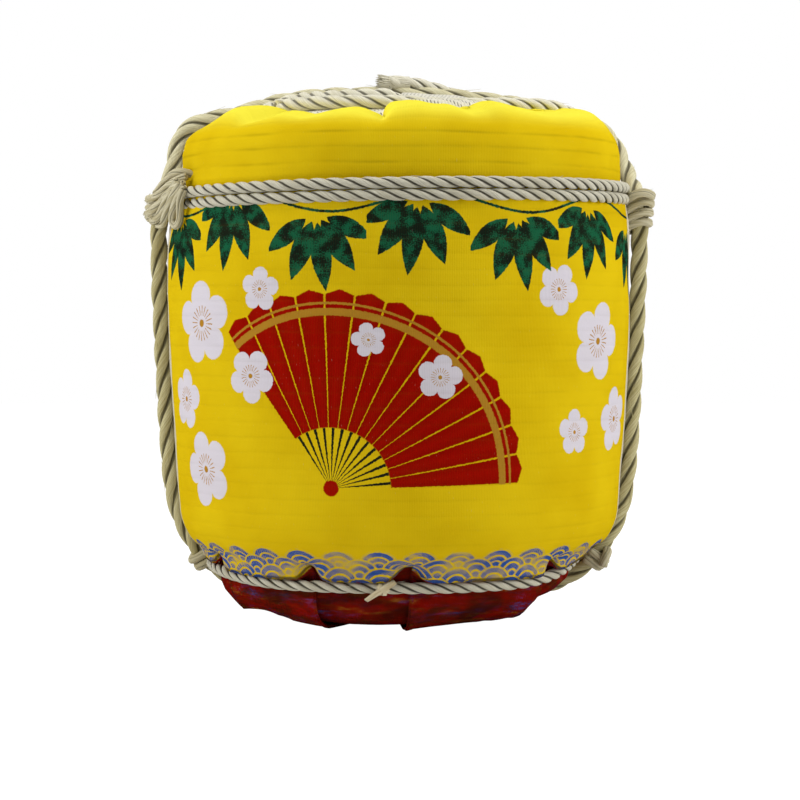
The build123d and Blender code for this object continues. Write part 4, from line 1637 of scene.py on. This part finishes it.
@dataclass
class TopMat:
    """The pale woven disc on top, with a gathered hump at the front."""

    radius: float = 130.5
    dome_center: float = -26.9
    dome_radius: float = 444.1
    thickness: float = 1.8
    cells: int = 104
    edge_drop: float = 9.0
    hump_height: float = 8.0

    def height(self, x: Array, y: Array) -> Array:
        """Height of the upper face at each place.

        Args:
            x: Places to the right.
            y: Places to the back.

        Returns:
            The heights.
        """
        reach = np.hypot(x, y)
        z = self.dome_center + np.sqrt(self.dome_radius**2 - reach**2)
        z = z - smooth(reach, 112.0, 131.0) * self.edge_drop
        degrees = np.degrees(np.arctan2(x, -y))
        wide = window(degrees, -3.5, 2.0, 33.0, 47.0)
        deep = window(reach, 52.0, 84.0, 112.0, 127.0)
        hump = wide * deep * (self.hump_height + 0.8 * ripple(x, y, 61, 60.0, 70.0))
        slack = ripple(x, y, 64, 90.0, 80.0) * 0.5 - 0.8
        return z + hump + slack * smooth(reach, 20.0, 60.0)

    def build(self) -> Piece:
        """Shape the disc from a square grid.

        Returns:
            The disc.
        """
        count = self.cells

        def place(column: Array, row: Array) -> tuple[Array, Array]:
            """Point and flat place of each grid point.

            Args:
                column: Column of each point.
                row: Row of each point.

            Returns:
                The points and their flat places.
            """
            a = column / (count - 1) * 2 - 1
            b = row / (count - 1) * 2 - 1
            x = a * np.sqrt(1 - b * b / 2) * self.radius
            y = b * np.sqrt(1 - a * a / 2) * self.radius
            points = np.stack([x, y, self.height(x, y)], axis=1)
            return points, np.stack([x, y], axis=1) * MM

        made = grid_piece("pale_top_mat", count, count, place)
        thicken(made, self.thickness, -1.0)
        return made


@dataclass
class CaskRopes:
    """All ropes, knots and the twine."""

    thin: float = 9.0
    thick: float = 14.0
    band: float = 7.4
    band_lay: float = 150.0
    thin_lay: float = 41.0
    thick_lay: float = 74.0
    gather_thickness: float = 11.2
    gather_lay: float = 50.0
    tail_thickness: float = 12.0
    tail_lay: float = 44.0
    girth_radius: float = 185.3
    girth_pitch: float = 9.2
    knot_axis: float = 194.4
    hitch_radius: float = 9.4
    hitch_slope: float = 3.4

    def _thick_rope(self) -> Rope:
        """Thick rope, not laid yet."""
        return Rope(self.thick, self.thick_lay, 14, 2.8, fibres=0.04)

    def _straw_band(self, thinner: float = 0.0, strand: float = 0.62) -> Rope:
        """Flat band of straw for knots and hitches, not laid yet."""
        return Rope(self.band - thinner, self.band_lay, 10, 2.0, strand=strand, fibres=0.04)

    def upper_girth(self) -> Piece:
        """Two turns below the shoulder, the ends under the left knot.

        Returns:
            The rope.
        """
        rope = Rope(self.thin, self.thin_lay, fibres=0.02)
        turns = helix((0.0, 0.0), (self.girth_radius, 189.0, 330.7), self.girth_pitch, 1.95, 16)
        tied = []
        for x, y, z in turns:
            press = 1.6 * max(0.0, (x - 150) / 35) ** 2
            tied.append((x - press, y, z + 1.2 * x / self.girth_radius))
        rope.lay_along(tied)
        return rope.piece("girth_rope_upper_laid")

    def lower_girth(self) -> Piece:
        """One turn above the skirt, drawn up towards the hitches.

        Returns:
            The rope.
        """
        rope = Rope(self.thin, self.thin_lay, fibres=0.02)
        ring = helix((0.0, 0.0), (153.4, 3.0, 35.36), 0.0, 354 / 360, 16)
        drawn = []
        for x, y, z in ring:
            degrees = np.degrees(np.arctan2(x, -y))
            drawn.append((x - float(drawn_in_right(degrees)), y, z + float(drawn_up(degrees))))
        rope.lay_along(drawn)
        return rope.piece("girth_rope_lower_laid")

    def sling(self) -> Piece:
        """Thick rope down both sides and under the foot.

        Returns:
            The rope.
        """
        half = [
            (196.4, -10.0, 324.0), (196.8, -5.0, 312.0), (196.8, -1.0, 300.0), (196.4, 0.4, 284.0),
            (195.6, 0.6, 255.0), (193.6, 1.0, 215.0), (191.8, -0.8, 175.0), (190.0, -0.6, 140.0),
            (187.2, 0.6, 110.0), (184.4, 0.4, 91.0), (179.8, 0.0, 76.5), (173.0, 0.0, 63.0),
            (165.2, 0.0, 50.5), (156.0, 0.0, 40.6), (147.0, 0.0, 33.6), (137.8, 0.0, 27.7),
            (128.0, 0.0, 22.8), (117.0, 0.0, 23.0), (106.0, 0.0, 21.8), (94.0, 0.0, 18.4),
            (80.0, 0.0, 13.0), (64.0, 0.0, 9.2), (50.0, 0.0, 7.4),
        ]
        rope = self._thick_rope()
        rope.lay_along([*half, *((-x, -y, z) for x, y, z in reversed(half))])
        return rope.piece("sling_rope_laid")

    def top(self) -> Piece:
        """Thick rope from side knot to side knot, slack to the back over the shoulders.

        Returns:
            The rope.
        """
        route: list[Point] = [
            (-196.4, 10.0, 324.3), (-195.0, 9.0, 333.0), (-191.6, 9.0, 346.0),
            (-186.4, 13.0, 360.0), (-184.4, 18.0, 373.0), (-182.4, 22.0, 386.5),
            (-175.6, 23.0, 397.2), (-163.0, 23.0, 402.6), (-147.0, 22.0, 405.6),
            (-127.0, 20.0, 410.0), (-105.0, 17.0, 416.4), (-82.0, 13.0, 421.0),
            (-48.0, 8.0, 422.6), (-14.0, 4.0, 422.8), (16.0, 4.0, 422.6), (50.0, 9.0, 421.0),
            (92.0, 15.0, 416.8), (130.0, 21.0, 408.8), (147.0, 24.0, 404.8), (162.0, 25.0, 399.6),
            (173.4, 25.0, 390.5), (181.2, 22.0, 377.0), (186.4, 10.0, 362.0),
            (190.2, -10.0, 348.0), (191.4, -19.0, 340.0), (193.4, -18.0, 333.0),
            (196.4, -10.0, 324.3),
        ]
        rope = self._thick_rope()
        rope.lay_along(route)
        return rope.piece("top_rope_laid")

    def gather(self) -> Piece:
        """Thin rope laid inside the crest, from under the right flap to a frayed end on top.

        Returns:
            The rope.
        """
        rope = Rope(self.gather_thickness, self.gather_lay, fibres=0.04)
        start: list[Point] = [
            (144.0, -24.0, 402.5), (130.0, -33.0, 408.6), (114.0, -44.0, 410.6),
            (96.0, -58.0, 410.4),
        ]
        ring = helix((0.0, 0.0), (107.9, -46.0, 408.8), 0.0, -254 / 360, 16)
        front = [(x, y, z - 3.2 * bell(x - 34.0, 36.0, 4) * (y < 0)) for x, y, z in ring[1:]]
        end: list[Point] = [
            (82.5, 77.0, 409.0), (83.0, 52.0, 411.0), (72.0, 32.0, 416.6), (50.0, 21.0, 422.8),
            (30.0, 14.0, 428.2), (14.0, 8.0, 432.0), (0.0, 4.0, 433.0), (-9.0, 1.0, 433.2),
        ]
        rope.lay_along([*start, *front, *end], 0.0, 0.3)
        self._tuft(rope, (8.0, 6.0, 432.4), (-16.5, -1.0, 433.0), 6.4, 220)
        return rope.piece("gather_rope_laid")

    def _tuft(self, rope: Rope, start: Point, end: Point, spread: float, count: int) -> None:
        """Bush out a rope end into loose straws.

        Args:
            rope: Rope whose mesh takes the straws.
            start: Place where the straws leave the rope.
            end: Middle of the cut end.
            spread: Radius of the cut end.
            count: Number of straws.
        """
        rng = np.random.default_rng(29)
        run = np.array(end) - np.array(start)
        length = float(np.linalg.norm(run))
        along = run / length
        side = np.cross(along, (0.0, 0.0, 1.0))
        side /= np.linalg.norm(side)
        up = np.cross(side, along)
        for index in range(count):
            turn = rng.uniform(0, TAU)
            out = (math.cos(turn) * side + math.sin(turn) * up) * math.sqrt(rng.uniform(0.1, 1.0)) * spread
            reach = along * (length + rng.uniform(-1.5, 1.5))
            steps = ((0.0, 0.8), (0.35, 0.76), (0.6, 0.68), (1.0, 1.0))
            path = [np.array(start) + reach * share + out * wide for share, wide in steps]
            stalk(rope.mesh, np.array(path), 0.9, 4, float(index))

    def tail(self) -> Piece:
        """Second lay of the rope at the front left, raised on the first.

        Returns:
            The rope.
        """
        rope = Rope(self.tail_thickness, self.tail_lay, fibres=0.04)
        ring = helix((0.0, 0.0), (98.6, -92.0, 413.4), 0.0, -62 / 360, 36)
        route = [(6.0, -97.0, 403.0), *ring[:-1], (-92.0, -52.0, 411.0), (-96.0, -58.0, 408.0)]
        rope.lay_along(route, 0.2, 0.1)
        return rope.piece("gather_tail_laid")

    def left_knot(self) -> Piece:
        """Yarns drawn over the girth ropes and round the thick rope, a loop and two cut ends.

        Returns:
            The knot.
        """
        rope = self._straw_band(1.0, 0.58)
        upper: list[Point] = [
            (-160.0, -68.0, 353.0), (-168.0, -69.0, 356.0), (-173.6, -66.0, 356.6),
            (-179.5, -58.0, 355.5), (-187.0, -44.0, 350.6), (-194.0, -26.0, 343.8),
            (-199.6, -8.0, 340.6), (-199.0, 6.0, 339.6),
        ]
        second: list[Point] = [
            (-167.5, -76.0, 352.0), (-174.5, -74.0, 349.6), (-181.5, -65.0, 346.9),
            (-189.0, -47.0, 341.6), (-196.4, -28.0, 337.6), (-202.0, -18.0, 336.4),
        ]
        third: list[Point] = [
            (-169.0, -85.0, 346.2), (-176.0, -79.0, 343.4), (-184.5, -63.0, 337.9),
            (-192.0, -45.0, 331.9), (-198.4, -29.0, 328.0), (-203.0, -20.0, 325.6),
        ]
        crossing: list[Point] = [
            (-174.6, -79.0, 348.7), (-183.6, -67.0, 335.2), (-188.4, -55.0, 327.5),
            (-193.0, -39.0, 322.1), (-199.0, -16.0, 319.6), (-202.0, 2.0, 320.0),
        ]
        inner: list[Point] = [
            (-171.2, -87.0, 346.0), (-180.0, -73.0, 334.6), (-184.8, -61.0, 324.9),
            (-187.8, -46.0, 318.6), (-191.0, -24.0, 315.8), (-196.0, -6.0, 316.0),
        ]
        loop: list[Point] = [
            (-168.6, -88.0, 344.4), (-174.2, -84.6, 334.9), (-178.6, -72.0, 325.2),
            (-180.0, -65.5, 317.4), (-176.2, -72.0, 312.4), (-172.3, -78.6, 316.7),
            (-171.5, -85.0, 324.7), (-171.5, -90.6, 333.4), (-168.6, -91.0, 341.0),
        ]
        winding = helix((-196.0, 6.0), (9.6, 150.0, 322.0), 7.6, 2.4, 14)
        for route in (winding, loop, inner, crossing, third, second, upper):
            rope.lay_along(route)
        self._tuft(rope, (-197.0, -30.0, 328.4), (-204.0, -18.0, 324.8), 4.4, 60)
        self._tuft(rope, (-195.4, -29.0, 338.0), (-203.0, -17.0, 335.8), 4.2, 60)
        return rope.piece("knot_upper_left_laid")

    def right_knot(self) -> Piece:
        """Winding of slanted turns stacked under the girth rope.

        Returns:
            The knot.
        """
        rope = self._straw_band()
        slanted = []
        turns = helix((0.0, 0.0), (9.8, 110.0, 314.6), 7.2, 4.0, 14)
        for index, (x, y, z) in enumerate(turns):
            lean = 5.0 + 13.0 * max(0.0, (z - 312.0) / 24.0)
            loose = 1 + 0.09 * math.sin(index * 0.42)
            arch = x * 0.16 - x * x * 0.03 + 0.9 * math.sin(index * 0.57)
            slanted.append((self.knot_axis + x * loose, y * loose - lean, z + arch - y * 0.12))
        rope.lay_along(slanted)
        return rope.piece("knot_upper_right_laid")

    def hitch(self, side: int) -> Piece:
        """Turns round the thick rope above the lower girth rope, with a cut end on the right.

        Args:
            side: -1 for left, 1 for right.

        Returns:
            The hitch.
        """
        rope = self._straw_band()
        center = np.array([161.4, 0.0, 46.4])
        heading = -2.3
        outward = np.array([-math.sin(heading), 0.0, math.cos(heading)])
        run = np.array([math.cos(heading), 0.0, math.sin(heading)])
        front = np.array([0.0, -1.0, 0.0])

        def at(along: float, forward: float, out: float) -> Point:
            """Point from its place along the thick rope, towards the front and outwards."""
            place = center + run * along + front * forward + outward * out
            return side * float(place[0]), float(place[1]), float(place[2])

        for shift, sweep in ((4.6, 122.0), (-2.4, 126.0)):
            loop = []
            for share in np.linspace(-1.0, 1.0, 13):
                turn = math.radians(sweep * share)
                forward = self.hitch_radius * math.sin(turn)
                out = self.hitch_radius * math.cos(turn)
                loop.append(at(shift + self.hitch_slope * share, forward, out))
            rope.lay_along(loop)
        if side > 0:
            cut_end = ((-9.0, 4.0, 4.0), (-9.0, 11.5, 5.0), (-3.0, 14.5, 6.5), (3.0, 13.5, 9.5))
            rope.lay_along([at(*place) for place in cut_end])
        name = "left" if side < 0 else "right"
        return rope.piece(f"hitch_lower_{name}_laid")

    def twine(self) -> Piece:
        """Flat twine knotted round the lower rope at the front, with two tails.

        Returns:
            The twine.
        """
        mesh = MeshData()
        middle = np.array((-12.0, -153.0, 35.4))

        def strip(places: Sequence[Point], width: float, lane: float) -> None:
            """Add one flat strip of twine, its flat side facing away from the rope's middle.

            Args:
                places: Points from the twine's middle.
                width: Width of the strip.
                lane: Where it starts across the map.
            """
            points = [tuple(middle + place) for place in places]
            line = even_line(route_line(points, 12), 1.0)
            tangent, _, _, lengths = frames(line)
            out = (line - middle) * (0.0, 1.0, 1.0)
            wide = unit(np.cross(tangent, out))
            out = np.cross(wide, tangent)
            corners = [(-width / 2, -0.4), (width / 2, -0.4), (width / 2, 0.4), (-width / 2, 0.4)]
            ring = np.stack([line + wide * a + out * b for a, b in corners], axis=1)
            mesh.add(ring.reshape(-1, 3), ring_faces(len(line), 4), ring_uvs(lengths, 4, lane))

        for shift, reach in ((-2.2, 5.2), (1.6, 5.5)):
            turns = np.radians(np.linspace(-140.0, 140.0, 15))
            strip([(shift + 0.5 * a, -reach * math.cos(a), reach * math.sin(a)) for a in turns], 3.4, shift)
        strip([(-4.0, -5.2, 2.5), (0.0, -7.6, 0.4), (4.0, -5.6, -2.4)], 4.2, 5.0)
        strip([(2.0, -6.6, 1.0), (-5.0, -7.0, -3.0), (-13.0, -5.0, -9.0)], 4.6, 6.0)
        strip([(-2.0, -6.8, -1.0), (4.0, -7.2, 2.0), (9.0, -5.6, 5.6)], 4.6, 7.0)
        return mesh.piece("twine_tie_flat")


def turned_shell(name: str, profile: Sequence[Pair], segments: int, rough: float, seed: int) -> Piece:
    """Turn a section into a closed, slightly uneven shell.

    Args:
        name: Piece name.
        profile: Radius and height from axis to axis, or a closed section.
        segments: Columns round the axis.
        rough: Unevenness in millimetres.
        seed: Seed of the unevenness.

    Returns:
        The shell.
    """
    section = np.array(profile)
    length = running_length(profile)

    def place(column: Array, row: Array) -> tuple[Array, Array]:
        """Point and flat place of each grid point.

        Args:
            column: Column of each point.
            row: Row of each point.

        Returns:
            The points and their flat places.
        """
        angle = column / (segments - 1) * TAU
        radius = section[row, 0]
        height = section[row, 1]
        wave = ripple(np.cos(angle) * radius, np.sin(angle) * radius + height, seed, 26.0, 30.0) * rough
        keep = np.clip(radius / 12.0, 0.0, 1.0)
        radius = radius - np.abs(wave) * keep
        points = np.stack([radius * np.sin(angle), -radius * np.cos(angle), height], axis=1)
        return points, np.stack([angle * 30, length[row] * MM], axis=1)

    made = grid_piece(name, segments, len(profile), place)
    close_seams(made)
    return made


def join(first: Piece, other: Piece) -> Piece:
    """Join a second object into the first.

    Args:
        first: Object that stays.
        other: Object that is joined to it.

    Returns:
        The joined object.
    """
    select_only(other, first)
    other.data.uv_layers[0].name = first.data.uv_layers[0].name
    bpy.ops.object.join()
    return first


@dataclass
class StrawPacking:
    """The straw cushion over the lid, the straw round the cask and the straw bed."""

    seed: int = 11
    pad_stalks: int = 520
    pad_reach: float = 158.0
    pad_floor: float = 385.95
    liner_stalks: int = 430
    liner_reach: float = 183.4
    mat_room: float = 4.6
    bed_stalks: int = 320
    bed_floor: float = 17.8
    pad_section: Pairs = (
        (0.0, 386.0), (60.0, 386.0), (120.0, 386.0), (150.0, 386.0), (158.0, 386.2),
        (161.0, 387.0), (160.4, 388.2), (156.0, 389.6), (148.0, 390.0), (138.0, 388.8),
        (128.0, 388.0), (118.0, 390.0), (104.0, 396.0), (84.0, 402.0), (58.0, 406.6),
        (28.0, 409.6), (0.0, 410.4),
    )
    bed_section: Pairs = (
        (0.0, 18.0), (60.0, 18.0), (96.0, 18.2), (108.0, 20.0), (115.0, 24.0), (122.0, 31.0),
        (132.0, 38.6), (130.4, 39.2), (129.2, 54.6), (80.0, 55.0), (0.0, 55.2),
    )

    @staticmethod
    def _lying(reach: float, turn: float, heading: float, offset: float) -> Pair:
        """Place on a lying stalk, from its middle's reach and turn and an offset along its heading."""
        x, y = reach * math.cos(turn), reach * math.sin(turn)
        return x + offset * math.cos(heading), y + offset * math.sin(heading)

    def pad(self) -> Piece:
        """Crowned cushion of straw stalks over the lid.

        Returns:
            The cushion.
        """
        shell = turned_shell("straw_pad_shell", self.pad_section, 97, 0.8, 71)
        mesh = MeshData()
        rng = np.random.default_rng(self.seed)
        for index in range(self.pad_stalks):
            reach = 150 * math.sqrt(rng.uniform(0.02, 1))
            turn = rng.uniform(0, TAU)
            heading = rng.uniform(0, TAU)
            half = rng.uniform(22, 46)
            path = []
            for share in (-1.0, -0.35, 0.35, 1.0):
                x, y = self._lying(reach, turn, heading, half * share)
                inside = min(1.0, self.pad_reach / math.hypot(x, y))
                path.append((x * inside, y * inside, self.pad_floor + rng.uniform(0.0, 1.4)))
            stalk(mesh, np.array(path), rng.uniform(0.7, 1.2), 5, float(index))
        return join(shell, mesh.piece("straw_pad_stalks"))

    def liner(self) -> Piece:
        """Upright straw between hoops and mat.

        Returns:
            The liner.
        """
        mesh = MeshData()
        rng = np.random.default_rng(self.seed + 1)
        mat = WrapMat()
        for index in range(self.liner_stalks):
            turn = TAU * index / self.liner_stalks + rng.uniform(-0.006, 0.006)
            lean = rng.uniform(-0.02, 0.02)
            layer = 2.2 if index % 2 else 0.4
            path = []
            for height in (96.0, 150.0, 210.0, 270.0, 322.0, 339.5 - rng.uniform(0, 7)):
                inner = min(mat.side_radius(height), self.liner_reach) - self.mat_room
                reach = inner - layer - 0.3 * rng.uniform(0, 1)
                at = turn + lean * (height - 210) / 120
                path.append((reach * math.sin(at), -reach * math.cos(at), height))
            if index % 3:
                path.reverse()
            stalk(mesh, np.array(path), rng.uniform(1.1, 1.6), 5, float(index))
        return mesh.piece("straw_liner_stalks")

    def bed(self) -> Piece:
        """Packed straw under the cask.

        Returns:
            The bed.
        """
        shell = turned_shell("straw_bed_shell", self.bed_section, 97, 1.0, 73)
        mesh = MeshData()
        rng = np.random.default_rng(self.seed + 2)
        for index in range(self.bed_stalks):
            turn = rng.uniform(0, TAU)
            heading = turn + rng.uniform(-1.2, 1.2)
            reach = rng.uniform(8, 92)
            half = rng.uniform(14, 28)
            path = []
            for share in (-1.0, 0.0, 1.0):
                x, y = self._lying(reach, turn, heading, half * share)
                path.append((x, y, self.bed_floor - rng.uniform(0.0, 1.0)))
            stalk(mesh, np.array(path), rng.uniform(0.7, 1.1), 5, float(index))
        return join(shell, mesh.piece("straw_bed_stalks"))


@dataclass
class PlaitedHoop:
    """A hoop of split bamboo strips plaited round the staves."""

    radius: float
    height: float
    strips: int = 4
    twists: int = 26
    steps: int = 300
    depth: float = 2.5
    rise: float = 7.4
    half_width: float = 3.6
    half_thickness: float = 0.85

    def build(self, name: str) -> Piece:
        """Plait the strips.

        Args:
            name: Piece name.

        Returns:
            The hoop.
        """
        mesh = MeshData()
        turn = np.linspace(0, TAU, self.steps + 1)
        out = np.stack([np.sin(turn), -np.cos(turn), np.zeros_like(turn)], axis=1)
        up = np.array([0.0, 0.0, 1.0])
        flat = [(-1.0, -1.0), (1.0, -1.0), (1.0, 0.2), (0.4, 1.0), (-0.4, 1.0), (-1.0, 0.2)]
        corners = np.array(flat) * (self.half_width, self.half_thickness)
        for strip in range(self.strips):
            phase = self.twists * turn + TAU * strip / self.strips
            reach = self.radius + self.depth * np.cos(phase)
            height = self.height + self.rise * np.sin(phase)
            line = out * reach[:, None] + up * height[:, None]
            outward = out * (np.cos(phase) / self.depth)[:, None]
            face = unit(outward + up * (np.sin(phase) / self.rise)[:, None])
            tangent = np.gradient(line, axis=0)
            tangent[0] = tangent[-1] = (line[1] - line[-2]) / 2
            wide = np.cross(face, unit(tangent))
            ring = np.stack([line + wide * a + face * b for a, b in corners], axis=1)
            faces = ring_faces(len(line), len(corners))
            mesh.add(ring.reshape(-1, 3), faces, ring_uvs(running_length(line), len(corners), float(strip)))
        made = mesh.piece(name)
        close_seams(made)
        return made


@dataclass
class Studio:
    """Camera, soft light, pale floor and white surroundings."""

    distance: float = 2.05
    eye_height: float = 0.247
    tilt: float = 2.06
    lens: float = 112.5
    sensor: float = 36.0
    aside: float = 0.0008
    aim_height: float = 0.22
    floor_size: float = 9.0
    floor_glow: float = 1.27
    floor_whitening: float = 0.8

    def camera(self) -> None:
        """Place the camera in front, a little above the middle, tilted down."""
        data = bpy.data.cameras.new("photo_camera")
        data.sensor_width = self.sensor
        data.lens = self.lens
        camera = bpy.data.objects.new("photo_camera", data)
        camera.location = (self.aside, -self.distance, self.eye_height)
        camera.rotation_euler = (math.radians(90 - self.tilt), 0.0, 0.0)
        bpy.context.scene.collection.objects.link(camera)
        bpy.context.scene.camera = camera

    def lamp(self, name: str, place: Point, size: float, power: float) -> None:
        """Add one soft box that faces the cask.

        Args:
            name: Name of the lamp.
            place: Place in metres.
            size: Side of the box in metres.
            power: Power in watts.
        """
        data = bpy.data.lights.new(name, "AREA")
        data.shape = "SQUARE"
        data.size = size
        data.energy = power
        lamp = bpy.data.objects.new(name, data)
        lamp.location = place
        away = np.array(place) - np.array((0.0, 0.0, self.aim_height))
        flat = math.hypot(away[0], away[1])
        lamp.rotation_euler = (math.atan2(flat, away[2]), 0.0, math.atan2(away[0], -away[1]))
        bpy.context.scene.collection.objects.link(lamp)

    def surroundings(self) -> None:
        """Light the scene evenly and show white to the camera."""
        world = bpy.data.worlds.new("studio")
        bpy.context.scene.world = world
        tree = NodeTree(world)
        soft = tree.given("Background", {0: (0.98, 0.99, 1.0, 1.0), 1: 0.15})
        white = tree.node("ShaderNodeBackground", None, {0: WHITE, 1: 1.0})
        tree.end_in_mix("World Output", tree.seen_directly(), soft, white)

    def floor(self) -> None:
        """Add the pale floor, which keeps a soft shadow."""
        select_only()
        bpy.ops.mesh.primitive_plane_add(size=self.floor_size, location=(0.0, 0.0, 0.0))
        floor = bpy.context.object
        floor.name = "studio_floor"
        tree = NodeTree(bpy.data.materials.new("pale_floor"))
        paint = {"Base Color": (0.86, 0.86, 0.86, 1.0), "Roughness": 0.9, "Specular IOR Level": 0.1}
        pale = tree.given("Principled BSDF", paint)
        glow = tree.node("ShaderNodeEmission", None, {0: WHITE, 1: self.floor_glow})
        tree.end_in_mix("Material Output", tree.seen_directly() * self.floor_whitening, pale, glow)
        floor.data.materials.append(tree.owner)

    def build(self) -> None:
        """Set up the whole studio."""
        bpy.context.scene.view_settings.view_transform = "Standard"
        self.camera()
        self.surroundings()
        self.floor()
        self.lamp("left_box", (-1.9, -0.42, 1.0), 1.4, 26.5)
        self.lamp("right_box", (1.9, -0.42, 1.0), 1.4, 26.5)
        self.lamp("top_box", (0.0, -0.5, 2.2), 1.5, 25.5)


@dataclass(frozen=True)
class StaveTaper:
    """Outside of the staves: radius at the foot, height of the foot, and widening to the rim."""

    foot_radius: float = 143.0
    foot: float = 40.0
    widening: float = 23.0
    length: float = 345.0

    def radius(self, height: float) -> float:
        """Outer radius of the staves at a height."""
        return self.foot_radius + (height - self.foot) * self.widening / self.length


def dress_cask(nodes: dict[str, Piece]) -> None:
    """Give the cask's own wooden pieces their finishes and plait the hoops.

    Args:
        nodes: The frame's nodes by name.
    """
    upright = CedarFinish(Grain.UPRIGHT, 18.0).material()
    across = CedarFinish(Grain.ACROSS, 14.1).material()
    dowel = DowelFinish().material()
    bamboo = BambooFinish().material()
    for name, node in nodes.items():
        if name.startswith("stave_"):
            finish = upright
        elif "_board_" in name or name == "bung":
            finish = across
        elif name.endswith("_dowels"):
            finish = dowel
        else:
            continue
        node.data.materials.clear()
        node.data.materials.append(finish)
    clearance = 0.2
    half_depth = 4.0
    for index in range(1, 7):
        low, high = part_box(f"hoop_{index}")
        middle = (low.z + high.z) / 2 / MM
        radius = StaveTaper().radius(middle) + clearance + half_depth
        hoop = PlaitedHoop(radius, middle).build(f"plaited_hoop_{index}")
        dress(hoop, Body.BARREL, Slot.BAMBOO, bamboo, f"hoop_{index}")


def dress_mats() -> None:
    """Wrap the mats and lay the straw."""
    wrap_sheet = WrapMat()
    wrap, lip_height, wrap_length = wrap_sheet.build()
    shoulder, shoulder_length = ShoulderMat().build()
    printed = PrintedMatFinish(lip_height).material()
    dress(wrap, Body.BARREL, Slot.MAT_PRINT, printed, "mat_wrap")
    dress(shoulder, Body.CAP, Slot.MAT_PRINT, printed, "mat_shoulder")

    plain = PlainMatFinish().material()
    disc = TopMat()
    top = dress(disc.build(), Body.CAP, Slot.MAT_PLAIN, plain, "top_mat")

    straw = StrawFinish().material()
    packing = StrawPacking()
    pad = dress(packing.pad(), Body.CAP, Slot.STRAW, straw, "straw_pad")
    dress(packing.liner(), Body.BARREL, Slot.STRAW, straw, "straw_liner")
    dress(packing.bed(), Body.BARREL, Slot.STRAW, straw, "straw_bed")


def rope_material(
    name: str,
    light: tuple[int, int, int],
    middle: tuple[int, int, int],
    dark: tuple[int, int, int],
    **more: float,
) -> Material:
    """Rope material from its three display colours and further values of RopeFinish."""
    return RopeFinish(name, srgb(*light), srgb(*middle), srgb(*dark), **more).material()


def dress_ropes() -> None:
    """Lay every rope and tie the knots."""
    thin = rope_material("thin_rope", (210, 206, 188), (184, 178, 154), (118, 108, 82))
    # Painted light: a paler copy of the thin rope for the ropes on top, as if lit from above.
    thin_painted_top_light = rope_material(
        "thin_rope_painted_top_light", (234, 230, 212), (212, 206, 180), (144, 132, 98), groove_depth=0.65
    )
    coarse = {"fibres": 30.0, "groove_depth": 0.7}
    thick = rope_material("thick_rope", (204, 196, 152), (168, 156, 104), (104, 88, 44), **coarse)
    # Painted light: a paler copy of the thick rope for the rope on top, as if lit from above.
    thick_painted_top_light = rope_material("thick_rope_painted_top_light", (222, 216, 182), (190, 181, 140), (120, 106, 66), **coarse)
    loose = {"fibres": 10.0, "slant": 30.0, "groove_depth": 0.55}
    band = rope_material("straw_band", (206, 199, 170), (172, 161, 122), (100, 87, 54), **loose)
    flat = {"fibres": 6.0, "slant": 30.0, "groove_depth": 0.0}
    twine = rope_material("flat_twine", (222, 210, 178), (196, 178, 138), (130, 108, 72), **flat)
    ropes = CaskRopes()
    dress(ropes.upper_girth(), Body.BARREL, Slot.ROPE_THIN, thin, "girth_rope_upper")
    dress(ropes.lower_girth(), Body.BARREL, Slot.ROPE_THIN, thin, "girth_rope_lower")
    dress(ropes.sling(), Body.BARREL, Slot.ROPE_THICK, thick, "sling_rope")
    dress(ropes.top(), Body.CAP, Slot.ROPE_THICK, thick_painted_top_light, "top_rope")
    dress(ropes.gather(), Body.CAP, Slot.ROPE_THIN, thin_painted_top_light, "gather_rope")
    dress(ropes.tail(), Body.CAP, Slot.ROPE_THIN, thin_painted_top_light, "gather_tail")
    dress(ropes.left_knot(), Body.BARREL, Slot.ROPE_THIN, band, "knot_upper_left")
    dress(ropes.right_knot(), Body.BARREL, Slot.ROPE_THIN, band, "knot_upper_right")
    dress(ropes.hitch(-1), Body.BARREL, Slot.ROPE_THIN, band, "hitch_lower_left")
    dress(ropes.hitch(1), Body.BARREL, Slot.ROPE_THIN, band, "hitch_lower_right")
    dress(ropes.twine(), Body.BARREL, Slot.TWINE, twine, "twine_tie")


def main() -> None:
    """Dress the cask."""
    logging.basicConfig(level=logging.INFO, format="%(name)s %(message)s")
    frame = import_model()
    Studio().build()
    dress_cask(frame["nodes"])
    dress_mats()
    dress_ropes()


if __name__ == "__main__":
    main()
